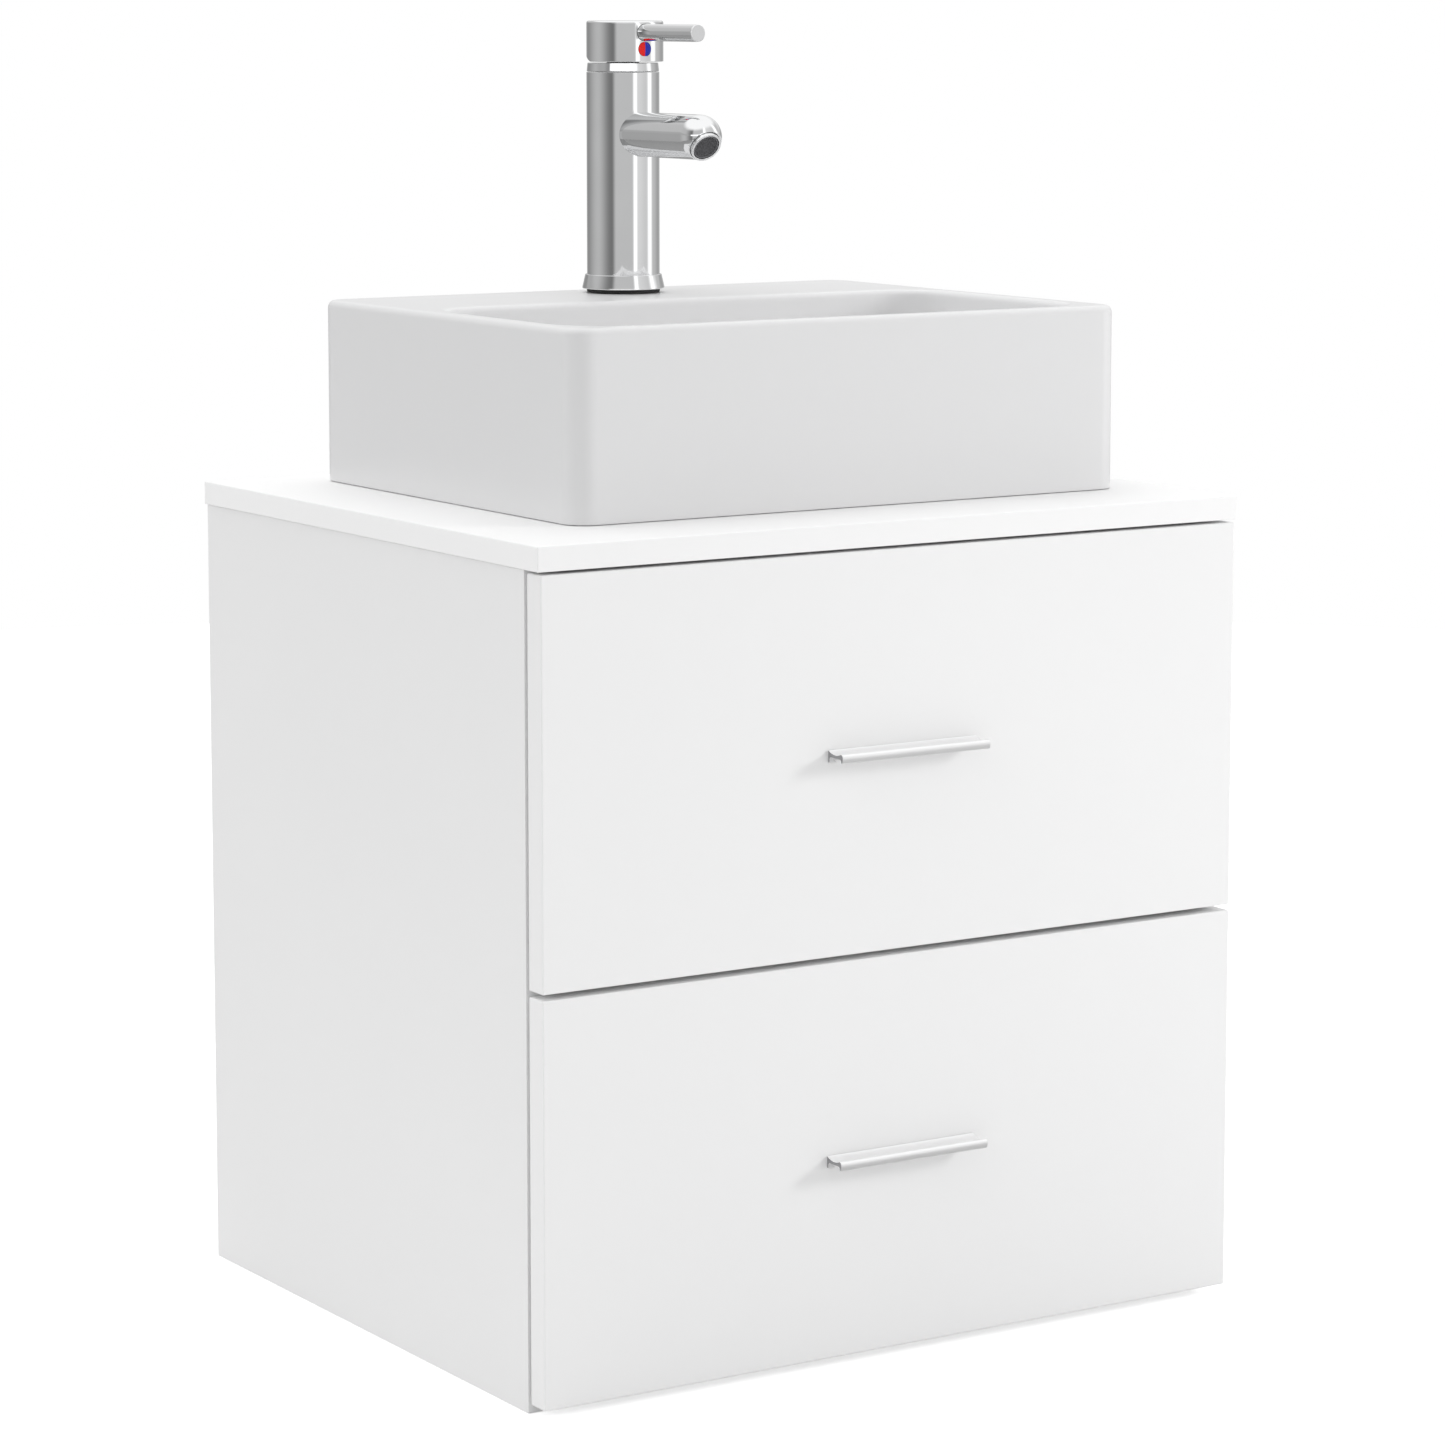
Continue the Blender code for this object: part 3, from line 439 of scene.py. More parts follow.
@dataclass(frozen=True)
class GlazeFinish(Finish):
    """Fired white glaze with a satin shine, a slow waviness and a few pinholes."""

    light: Colour
    dark: Colour
    roughness: tuple[float, float] = (0.28, 0.31)
    shine: float = 0.40
    coat: float = 0.10

    def dress(self, bench: NodeBench, shader: bpy.types.Node) -> None:
        """Wires tone, gloss, waviness and pinholes under a clear coat."""
        place = bench.place()
        bench.surface(shader, place, (3.0, 1.0, self.light, self.dark), (9.0, 1.0, *self.roughness))
        wave = bench.use(Effect.RELIEF, place, Scale=12.0, Detail=0.0)
        pinholes = bench.use(Effect.SPECKS, place, Scale=45.0, Size=0.03)
        dips = bench.sum_of("SUBTRACT", 1.0, pinholes)
        normal = bench.bump(dips, 0.00008, 0.15, bench.bump(wave, 0.0004, 0.03))
        bench.join(normal, shader.inputs["Normal"])
        shader.inputs["Specular IOR Level"].default_value = self.shine
        shader.inputs["Coat Weight"].default_value = self.coat
        shader.inputs["Coat Roughness"].default_value = 0.08


@dataclass(frozen=True)
class ChromeFinish(Finish):
    """Bright chromium plate with the faintest polishing ripple."""

    light: Colour = (0.83, 0.835, 0.84)
    dark: Colour = (0.79, 0.795, 0.80)
    roughness: tuple[float, float] = (0.02, 0.05)

    def dress(self, bench: NodeBench, shader: bpy.types.Node) -> None:
        """Wires tone, gloss and ripple."""
        bench.surface(
            shader, bench.place(), (30.0, 2.0, self.light, self.dark), (60.0, 3.0, *self.roughness),
            (70.0, 1.0, 0.00002, 0.12),
        )
        shader.inputs["Metallic"].default_value = 1.0


@dataclass(frozen=True)
class DrawnAluminium(Finish):
    """Satin anodised extrusion with fine draw lines along its length."""

    light: Colour = (0.97, 0.97, 0.97)
    dark: Colour = (0.93, 0.93, 0.935)
    roughness: tuple[float, float] = (0.32, 0.42)
    metallic: float = 0.7

    def dress(self, bench: NodeBench, shader: bpy.types.Node) -> None:
        """Wires draw lines into tone, gloss and relief."""
        bench.surface(
            shader, bench.place(stretch=(6.0, 2600.0, 2600.0)), (1.0, 3.0, self.light, self.dark),
            (1.0, 2.0, *self.roughness), (1.0, 2.0, 0.00001, 0.12),
        )
        shader.inputs["Metallic"].default_value = self.metallic


@dataclass(frozen=True)
class ZincPlate(Finish):
    """Zinc-plated steel: cool grey spangle, a yellowish drift and rolling lines along Y."""

    cool: Colour = (0.60, 0.63, 0.67)
    warm: Colour = (0.66, 0.65, 0.58)
    roughness: tuple[float, float] = (0.26, 0.46)

    def dress(self, bench: NodeBench, shader: bpy.types.Node) -> None:
        """Wires spangle, drift and rolling lines."""
        place = bench.place()
        tone = bench.use(Effect.TONE, place, Scale=38.0, Detail=4.0, Light=self.cool, Dark=self.warm)
        spangle = bench.add("ShaderNodeTexVoronoi")
        spangle.inputs["Scale"].default_value = 260.0
        bench.join(place, spangle.inputs["Vector"])
        grey = bench.ramp(spangle.outputs["Color"], ((0.0, (0.82, 0.82, 0.82)), (1.0, (1.0, 1.0, 1.0))))
        blend = bench.add("ShaderNodeMix", data_type="RGBA", blend_type="MULTIPLY")
        blend.inputs["Factor"].default_value = 1.0
        bench.join(tone, blend.inputs["A"])
        bench.join(grey, blend.inputs["B"])
        bench.join(blend.outputs["Result"], shader.inputs["Base Color"])
        bench.surface(shader, place, gloss=(120.0, 3.0, *self.roughness))
        bench.surface(shader, bench.place(stretch=(1900.0, 14.0, 1900.0)), relief=(1.0, 2.0, 0.00002, 0.3))
        shader.inputs["Metallic"].default_value = 1.0


@dataclass(frozen=True)
class MouldedFinish(Finish):
    """Moulded plastic or rubber: a fine spark-eroded grain, with a slow drift of tone and gloss."""

    light: Colour
    dark: Colour
    roughness: tuple[float, float]
    grain_scale: float = 1600.0
    grain_strength: float = 0.25

    def dress(self, bench: NodeBench, shader: bpy.types.Node) -> None:
        """Wires tone, gloss and grain."""
        bench.surface(
            shader, bench.place(), (24.0, 3.0, self.light, self.dark), (55.0, 3.0, *self.roughness),
            (self.grain_scale, 2.0, 0.00003, self.grain_strength),
        )


@dataclass(frozen=True)
class MarkerFinish(Finish):
    """Clear-topped marker printed half red, half blue across X, with a soft meeting line."""

    middle_x: float = 0.0
    red: Colour = (0.80, 0.008, 0.003)
    blue: Colour = (0.012, 0.022, 0.38)
    line: float = 0.0005

    def dress(self, bench: NodeBench, shader: bpy.types.Node) -> None:
        """Wires the two halves under a clear coat."""
        place = bench.place(centre=Vector((self.middle_x, 0, 0)))
        axes = bench.add("ShaderNodeSeparateXYZ")
        bench.join(place, axes.inputs["Vector"])
        across = bench.add("ShaderNodeMapRange", interpolation_type="SMOOTHSTEP")
        across.inputs["From Min"].default_value = -self.line / 2
        across.inputs["From Max"].default_value = self.line / 2
        bench.join(axes.outputs["X"], across.inputs["Value"])
        colour = bench.ramp(across.outputs["Result"], ((0.0, self.red), (1.0, self.blue)), "LINEAR")
        bench.join(colour, shader.inputs["Base Color"])
        bench.surface(shader, place, gloss=(300.0, 2.0, 0.10, 0.18), relief=(240.0, 1.0, 0.00003, 0.15))
        shader.inputs["Specular IOR Level"].default_value = 0.30
        shader.inputs["Coat Weight"].default_value = 0.15
        shader.inputs["Coat Roughness"].default_value = 0.05


class Finishes:
    """The finishes of this vanity."""

    CARCASS = BoardFinish("carcass_melamine", (0.895, 0.895, 0.895), (0.875, 0.875, 0.876), (0.40, 0.50),
                          pearl_strength=0.10)
    FRONT = BoardFinish("front_lacquer", (0.925, 0.925, 0.925), (0.905, 0.905, 0.906))
    TOP = BoardFinish("top_lacquer", (0.96, 0.96, 0.96), (0.945, 0.945, 0.945), (0.42, 0.50), shine=0.25)
    DRAWER = BoardFinish("drawer_melamine", (0.89, 0.89, 0.888), (0.865, 0.866, 0.868), (0.42, 0.52),
                         pearl_strength=0.14)
    CORE = ChipCore("particle_core")
    GLAZE = GlazeFinish("white_glaze", (0.770, 0.768, 0.771), (0.761, 0.763, 0.768))
    CHROME = ChromeFinish("bright_chrome")
    SATIN_CHROME = ChromeFinish("pin_end_chrome", roughness=(0.16, 0.24))
    HANDLE = DrawnAluminium("drawn_aluminium")
    # Painted shade: a darker copy of the drawn aluminium for the pull's end faces, standing in for the dim reflection
    # they show.
    SHADED_END_ALUMINIUM = DrawnAluminium("painted_shade_end_aluminium", (0.40, 0.40, 0.41), (0.30, 0.30, 0.31), (0.42, 0.55), 0.6)
    ZINC = ZincPlate("zinc_plate")
    BALL_STEEL = ChromeFinish("ball_steel", (0.62, 0.63, 0.64), (0.55, 0.56, 0.58), (0.08, 0.14))
    RUBBER = MouldedFinish("black_rubber", (0.018, 0.018, 0.018), (0.030, 0.030, 0.030), (0.55, 0.75), 900.0, 0.5)
    GREY_PLASTIC = MouldedFinish("grey_plastic", (0.36, 0.37, 0.39), (0.31, 0.32, 0.34), (0.42, 0.56))
    WHITE_PLASTIC = MouldedFinish("white_plastic", (0.85, 0.85, 0.84), (0.81, 0.81, 0.80), (0.24, 0.38), 1100.0, 0.15)
    SCREEN_BACK = MouldedFinish("screen_insert", (0.035, 0.035, 0.036), (0.02, 0.02, 0.02), (0.4, 0.6))
    SCREEN_WIRE = MouldedFinish("screen_mesh", (0.19, 0.19, 0.20), (0.14, 0.14, 0.15), (0.28, 0.42), 2400.0, 0.2)


# ---------------------------------------------------------------- shapes


@dataclass(frozen=True)
class Place:
    """A centre line: where it starts and which way it points."""

    start: Vector
    pointing: Vector = Vector((0, 0, 1))

    def turn(self) -> Matrix:
        """The rotation from +Z to the line."""
        return self.pointing.to_track_quat("Z", "Y").to_matrix()

    def along(self, distance: float) -> Vector:
        """A point on the line."""
        return self.start + self.pointing.normalized() * distance


class Operation(Enum):
    """The Booleans that shapes use."""

    CUT = "DIFFERENCE"
    JOIN = "UNION"


class Shape:
    """A solid being modelled, with the operations that the pieces need."""

    def __init__(self) -> None:
        """Starts empty."""
        self.mesh = bmesh.new()

    @classmethod
    def block(cls, low: Vector, high: Vector) -> "Shape":
        """A plain block between two corners."""
        made = cls()
        bmesh.ops.create_cube(made.mesh, size=1.0)
        bmesh.ops.scale(made.mesh, vec=Vector(high) - Vector(low), verts=made.mesh.verts)
        bmesh.ops.translate(made.mesh, vec=(Vector(high) + Vector(low)) / 2, verts=made.mesh.verts)
        return made

    @classmethod
    def turned(cls, profile: Profile, place: Place, closed: bool = False, steps: int = TURN_STEPS) -> "Shape":
        """A profile spun about a line.

        Args:
            profile: Points as distance from the line and distance along it.
            place: The line.
            closed: Whether the profile's last point joins its first, as in a ring.
            steps: Sides of the piece.

        Returns:
            The turned shape.
        """
        made = cls()
        mesh = made.mesh
        verts = [mesh.verts.new((radius, 0, height)) for radius, height in profile]
        ends = verts[1:] + verts[:1] if closed else verts[1:]
        edges = [mesh.edges.new(pair) for pair in zip(verts, ends)]
        bmesh.ops.spin(
            mesh, geom=verts + edges, cent=(0, 0, 0), axis=(0, 0, 1), angle=math.tau, steps=steps, use_merge=True
        )
        made.close_up()
        bmesh.ops.rotate(mesh, verts=mesh.verts, cent=(0, 0, 0), matrix=place.turn())
        bmesh.ops.translate(mesh, verts=mesh.verts, vec=place.start)
        return made

    @classmethod
    def rod(cls, radius: float, start: Vector, end: Vector, steps: int = SMALL_TURN_STEPS) -> "Shape":
        """A plain round bar between two points."""
        reach = Vector(end) - Vector(start)
        profile = ((0, 0), (radius, 0), (radius, reach.length), (0, reach.length))
        return cls.turned(profile, Place(Vector(start), reach), steps=steps)

    @classmethod
    def swept(cls, outline: Sequence[Vector], travel: Vector) -> "Shape":
        """A flat outline extruded along a vector."""
        made = cls()
        face = made.mesh.faces.new([made.mesh.verts.new(point) for point in outline])
        swept = bmesh.ops.extrude_face_region(made.mesh, geom=[face], use_keep_orig=True)
        moved = [item for item in swept["geom"] if isinstance(item, bmesh.types.BMVert)]
        bmesh.ops.translate(made.mesh, verts=moved, vec=travel)
        made.close_up()
        return made

    @classmethod
    def of_node(cls, node: str) -> "Shape":
        """A merged copy of a frame node, with its flat faces whole again."""
        made = cls()
        made.mesh.from_mesh(frame["nodes"][node].data)
        bmesh.ops.remove_doubles(made.mesh, verts=made.mesh.verts, dist=MERGE)
        bmesh.ops.dissolve_limit(made.mesh, angle_limit=FLAT, verts=made.mesh.verts, edges=made.mesh.edges)
        return made

    def close_up(self) -> "Shape":
        """Merges doubles and turns the faces outwards."""
        bmesh.ops.remove_doubles(self.mesh, verts=self.mesh.verts, dist=MERGE / 10)
        bmesh.ops.recalc_face_normals(self.mesh, faces=self.mesh.faces)
        return self

    def soften(self, radius: float, segments: int = 3,
               where: Callable[[bmesh.types.BMEdge], bool] | None = None) -> "Shape":
        """Rounds the sharp edges.

        Args:
            radius: Width of the rounding.
            segments: Facets across it.
            where: Picks among the sharp edges, or all of them.

        Returns:
            The shape itself.
        """
        edges = [
            edge for edge in self.mesh.edges
            if len(edge.link_faces) == 2 and edge.calc_face_angle(0.0) > CREASE and (not where or where(edge))
        ]
        bmesh.ops.bevel(
            self.mesh, geom=edges, offset=radius, offset_type="OFFSET", segments=segments,
            profile=0.5, affect="EDGES", material=-1, clamp_overlap=True,
        )
        return self

    def add(self, other: "Shape") -> "Shape":
        """Takes in another shape's faces as they are, and uses it up."""
        spare = bpy.data.meshes.new("spare")
        other.mesh.to_mesh(spare)
        other.mesh.free()
        self.mesh.from_mesh(spare)
        bpy.data.meshes.remove(spare)
        return self

    def combine(self, operation: Operation, tools: Iterable["Shape"]) -> "Shape":
        """An exact Boolean with other shapes, which are used up.

        Args:
            operation: Cut or join.
            tools: The other shapes.

        Returns:
            The shape itself.
        """
        subject = self._helper()
        helpers = [tool._helper() for tool in tools]
        for helper in helpers:
            step = subject.modifiers.new("step", "BOOLEAN")
            step.operation = operation.value
            step.solver = "EXACT"
            step.object = helper
        self.mesh = bmesh.new()
        self.mesh.from_object(subject, bpy.context.evaluated_depsgraph_get())
        for helper in (subject, *helpers):
            spare = helper.data
            bpy.data.objects.remove(helper)
            bpy.data.meshes.remove(spare)
        return self

    def cut(self, *tools: "Shape") -> "Shape":
        """Takes the tools' volume away."""
        return self.combine(Operation.CUT, tools)

    def join(self, *tools: "Shape") -> "Shape":
        """Adds the tools' volume."""
        return self.combine(Operation.JOIN, tools)

    def _helper(self) -> bpy.types.Object:
        """A throwaway object of this shape, whose bmesh is used up."""
        spare = bpy.data.meshes.new("helper")
        self.mesh.to_mesh(spare)
        self.mesh.free()
        made = bpy.data.objects.new("helper", spare)
        bpy.context.scene.collection.objects.link(made)
        return made

    def paint(self, index: int, where: Callable[[bmesh.types.BMFace], bool]) -> "Shape":
        """Gives the faces that match the finish of that index."""
        for face in self.mesh.faces:
            if where(face):
                face.material_index = index
        return self

    def deliver(self, name: str, finish: Finish, nodes: Sequence[str], more: Sequence[Finish] = (),
                replaces: bool = True) -> None:
        """Makes the finished piece.

        Args:
            name: The piece's name.
            finish: Its main finish.
            nodes: The frame nodes it stands for; it rides on the first one's body.
            more: Finishes of painted faces, from index 1.
            replaces: False for a piece that only goes along with the first node.
        """
        mesh = bpy.data.meshes.new(name)
        self.mesh.to_mesh(mesh)
        self.mesh.free()
        for used in (finish, *more):
            mesh.materials.append(used.material())
        mesh.shade_smooth()
        mesh.set_sharp_from_angle(angle=CREASE)
        piece = bpy.data.objects.new(name, mesh)
        bpy.context.scene.collection.objects.link(piece)
        flat = piece.modifiers.new("flat_faces_stay_flat", "WEIGHTED_NORMAL")
        flat.keep_sharp = True
        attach(piece, frame["nodes"][nodes[0]]["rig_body"])
        if replaces:
            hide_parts(*nodes)
        log.info("%s: %d faces", name, len(mesh.polygons))


def arc(
    centre: tuple[float, float], radius: float, start: float, end: float, steps: int
) -> list[tuple[float, float]]:
    """Points along a circular arc.

    Args:
        centre: The arc's centre.
        radius: Its radius.
        start: First angle in degrees, from the first axis towards the second.
        end: Last angle in degrees.
        steps: Chords along it.

    Returns:
        The points, ends included.
    """
    angles = [math.radians(start + (end - start) * step / steps) for step in range(steps + 1)]
    return [(centre[0] + radius * math.cos(angle), centre[1] + radius * math.sin(angle)) for angle in angles]


def middle(node: str) -> Vector:
    """The middle of a frame node's box."""
    low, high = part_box(node)
    return (low + high) / 2


def dome(radius: float, foot: float, rise: float, steps: int) -> list[tuple[float, float]]:
    """A shallow dome's profile, from just inside its edge to its crown.

    Args:
        radius: Where its edge is.
        foot: Height of the edge.
        rise: Height of the crown above the edge.
        steps: Chords along it.

    Returns:
        The points, without the edge.
    """
    shares = [1 - step / steps for step in range(1, steps + 1)]
    return [(radius * share, foot + rise * (1 - share * share)) for share in shares]


def upright_hole(centre: Vector, low: float, high: float, radius: float) -> Shape:
    """A round cutter that stands upright between two heights."""
    return Shape.rod(radius, Vector((centre.x, centre.y, low)), Vector((centre.x, centre.y, high)), TURN_STEPS)


def level_hole(centre: Vector, start: float, end: float, radius: float, steps: int = SMALL_TURN_STEPS) -> Shape:
    """A round bar that lies along Y between two distances."""
    return Shape.rod(radius, Vector((centre.x, start, centre.z)), Vector((centre.x, end, centre.z)), steps)


# ---------------------------------------------------------------- cabinet


@dataclass
class Carcass:
    """The boards of the cabinet, its countertop and the hangers at its back."""

    edge: float = 0.0004
    top_edge: float = 0.0008
    hole_radius: float = 0.030

    boards: tuple[str, ...] = (
        "left_side_panel", "right_side_panel", "bottom_panel", "front_top_rail", "back_top_rail",
        "back_bottom_rail",
    )

    def build(self) -> None:
        """Builds every board and the hangers."""
        for node in self.boards:
            Shape.block(*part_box(node)).soften(self.edge, 2).deliver(f"{node}_board", Finishes.CARCASS, [node])
        self.build_countertop()
        for side in SIDES:
            node = f"{side}_wall_hanger"
            Shape.of_node(node).soften(self.edge * 2, 3).deliver(f"{node}_plated", Finishes.ZINC, [node])

    def build_countertop(self) -> None:
        """Builds the worktop, with raw particle board in its two holes."""
        low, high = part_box("countertop")
        top = Shape.block(low, high).soften(self.top_edge, 4)
        radius = self.hole_radius
        centres = [middle(node) for node in ("waste_body", "tap_gasket")]
        top.cut(*(upright_hole(centre, low.z - radius, high.z + radius, radius) for centre in centres))
        margin = (min(centre.x for centre in centres) - low.x - radius) / 2

        def in_a_hole(face: bmesh.types.BMFace) -> bool:
            """Whether an upright face lies well inside the board's outline."""
            spot = face.calc_center_median()
            inside = low.x + margin < spot.x < high.x - margin
            return abs(face.normal.z) < 0.5 and inside and low.y + radius < spot.y < high.y - radius

        top.paint(1, in_a_hole)
        top.deliver("countertop_board", Finishes.TOP, ["countertop"], [Finishes.CORE])


@dataclass
class Handle:
    """A drawn aluminium pull: a dished top, a rounded lip and an open underside."""

    level: str
    lip_depth: float = 0.0022
    lip_rise: float = 0.0026
    lip_fall: float = 0.0034
    top_drop: float = 0.0007
    dish_depth: float = 0.0012
    roof_drop: float = 0.0040
    lip_foot_drop: float = 0.0063
    back_foot_drop: float = 0.0073
    skin: float = 0.0018
    end_edge: float = 0.00025
    boss_radius: float = 0.0026
    boss_length: float = 0.0100
    bore_radius: float = 0.0017
    bore_length: float = 0.0085
    dish_steps: int = 12
    lip_steps: int = 8
    inner_corner: float = 0.0012

    def outline(self, reach: float) -> list[tuple[float, float]]:
        """The section as (distance out from the drawer front, height from the top edge).

        Args:
            reach: How far the pull stands out.

        Returns:
            The section's points in order.
        """
        lip_middle = reach - self.lip_depth
        points = [(0.0, -self.back_foot_drop), (0.0, -0.0003), (0.0003, 0.0), (0.0010, 0.0)]
        for step in range(self.dish_steps):
            share = step / self.dish_steps
            out = self.skin + share * (lip_middle - self.skin)
            points.append((out, -self.top_drop - self.dish_depth * math.sin(math.pi * share)))
        crest = -self.top_drop - self.lip_rise
        for lift, start, end in ((self.lip_rise, 90, 0), (self.lip_fall, -8, -55)):
            for out, height in arc((0.0, 0.0), 1.0, start, end, self.lip_steps):
                points.append((lip_middle + self.lip_depth * out, crest + lift * height))
        points += [(reach - 0.0012, -self.lip_foot_drop), (reach - self.skin, -self.lip_foot_drop)]
        corner = self.inner_corner
        points += arc((reach - 0.0034, -self.roof_drop - corner), corner, 0, 90, 4)
        points += arc((self.skin + corner, -self.roof_drop - corner), corner, 90, 180, 4)
        points.append((self.skin, -self.back_foot_drop))
        return points

    def build(self) -> None:
        """Builds the pull with its two screw bosses, and the screws."""
        node = f"{self.level}_drawer_handle"
        low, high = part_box(node)
        outline = [Vector((low.x, high.y - out, high.z + height)) for out, height in self.outline(high.y - low.y)]
        pull = Shape.swept(outline, Vector((high.x - low.x, 0, 0)))

        def at_an_end(edge: bmesh.types.BMEdge) -> bool:
            """Whether an edge lies in one of the end faces."""
            first, second = (vert.co.x for vert in edge.verts)
            return abs(first - second) < MERGE

        pull.soften(self.end_edge, 3, at_an_end)
        screws = [f"{node}_{side}_screw" for side in SIDES]
        centres = [middle(screw) for screw in screws]
        pull.join(*(
            level_hole(centre, high.y - 0.0005, high.y - self.boss_length, self.boss_radius) for centre in centres
        ))
        pull.cut(*(
            level_hole(centre, high.y + 0.002, high.y - self.bore_length, self.bore_radius) for centre in centres
        ))
        # The end faces take the darker copy of the aluminium, which paints shade on them.
        pull.paint(1, lambda face: abs(face.normal.x) > 0.99)
        pull.deliver(f"{self.level}_pull", Finishes.HANDLE, [node], [Finishes.SHADED_END_ALUMINIUM])
        for screw in screws:
            self.build_screw(screw)

    @staticmethod
    def build_screw(node: str) -> None:
        """Builds a pan-head screw with a cross recess, seen from inside the drawer."""
        low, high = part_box(node)
        centre = middle(node)
        head, shank, thick, rounding = (high.x - low.x) / 2, 0.0014, 0.0022, 0.0012
        place = Place(Vector((centre.x, high.y, centre.z)), FORWARDS)
        profile = [(0, 0), (head * 0.55, 0.0001)]
        profile += arc((head - rounding, 0.0013), rounding, -80, 0, 5)
        profile += [(head, thick), (shank, thick), (shank, high.y - low.y), (0, high.y - low.y)]
        screw = Shape.turned(profile, place, steps=SMALL_TURN_STEPS)
        reach, slot = head * 0.62, 0.0005
        arms = [
            Shape.block(
                (centre.x - wide, high.y - 0.0012, centre.z - tall),
                (centre.x + wide, high.y + 0.001, centre.z + tall),
            )
            for wide, tall in ((reach, slot), (slot, reach))
        ]
        screw.cut(*arms).deliver(f"{node}_cross_head", Finishes.ZINC, [node])


@dataclass
class Drawer:
    """A drawer: its lacquered front, its box and its pull."""

    level: str
    front_edge: float = 0.0010
    board_edge: float = 0.0005
    screw_hole_radius: float = 0.0020

    def build(self) -> None:
        """Builds the front, the box boards and the pull."""
        name = f"{self.level}_drawer"
        low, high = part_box(f"{name}_front")
        front = Shape.block(low, high).soften(self.front_edge, 4)
        holes = [
            level_hole(middle(f"{name}_handle_{side}_screw"), low.y - 0.01, high.y + 0.01, self.screw_hole_radius, 24)
            for side in SIDES
        ]
        front.cut(*holes).deliver(f"{name}_lacquered_front", Finishes.FRONT, [f"{name}_front"])
        for part in ("left_side", "right_side", "back", "bottom"):
            node = f"{name}_{part}"
            Shape.of_node(node).soften(self.board_edge, 2).deliver(f"{node}_board", Finishes.DRAWER, [node])
        Handle(self.level).build()


@dataclass
class Runner:
    """A three-part ball-bearing runner, with its row of balls above and below the inner channel."""

    level: str
    side: str
    fold: float = 0.0005
    sheet: float = 0.0012
    ball_radius: float = 0.0014
    ball_pitch: float = 0.0130
    ball_count: int = 9
    first_ball: float = 0.030
    cage_thickness: float = 0.0005
    cage_margin: float = 0.006

    def build(self) -> None:
        """Builds the three channels and the two ball rows."""
        name = f"{self.level}_{self.side}_runner"
        for member in ("cabinet", "middle", "drawer"):
            node = f"{name}_{member}_member"
            Shape.of_node(node).soften(self.fold, 2).deliver(f"{name}_{member}_channel", Finishes.ZINC, [node])
        self.build_balls(name)

    def build_balls(self, name: str) -> None:
        """Builds the balls and the strips that space them, riding on the middle channel."""
        outer_low, outer_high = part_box(f"{name}_middle_member")
        inner_low, inner_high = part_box(f"{name}_drawer_member")
        x = (max(outer_low.x, inner_low.x) + min(outer_high.x, inner_high.x)) / 2
        rows = (
            (inner_high.z + outer_high.z - self.sheet) / 2,
            (inner_low.z + outer_low.z + self.sheet) / 2,
        )
        start = outer_low.y + self.first_ball
        length = (self.ball_count - 1) * self.ball_pitch
        balls, strips = Shape(), Shape()
        for z in rows:
            for index in range(self.ball_count):
                spot = Matrix.Translation((x, start + index * self.ball_pitch, z))
                bmesh.ops.create_uvsphere(
                    balls.mesh, u_segments=12, v_segments=8, radius=self.ball_radius, matrix=spot
                )
            half = Vector((self.ball_radius * 0.8, self.cage_margin, self.cage_thickness / 2))
            strips.add(Shape.block(Vector((x, start, z)) - half, Vector((x, start + length, z)) + half))
        balls.deliver(f"{name}_balls", Finishes.BALL_STEEL, [f"{name}_middle_member"], replaces=False)
        strips.deliver(f"{name}_ball_cage", Finishes.ZINC, [f"{name}_middle_member"], replaces=False)


# ---------------------------------------------------------------- basin and drainage


@dataclass(frozen=True)
class Section:
    """A level outline of the basin's skin: a rectangle with round corners."""

    centre: tuple[float, float]
    half: tuple[float, float]
    radius: float
    height: float

    def point(self, quarter: int, share: float) -> Vector:
        """A point on a corner.

        Args:
            quarter: Which corner, from +X +Y round through -X +Y.
            share: How far round that corner, from 0 to 1.

        Returns:
            The point.
        """
        side_x, side_y = ((1, 1), (-1, 1), (-1, -1), (1, -1))[quarter]
        angle = math.pi / 2 * (quarter + share)
        x = self.centre[0] + side_x * (self.half[0] - self.radius) + self.radius * math.cos(angle)
        y = self.centre[1] + side_y * (self.half[1] - self.radius) + self.radius * math.sin(angle)
        return Vector((x, y, self.height))

    def towards(self, other: "Section", share: float, height: float) -> "Section":
        """An outline part of the way to another one, at a height of its own."""
        def between(first: float, second: float) -> float:
            """The value at the share between two."""
            return first + (second - first) * share
        centre = tuple(map(between, self.centre, other.centre))
        half = tuple(map(between, self.half, other.half))
        return Section(centre, half, between(self.radius, other.radius), height)


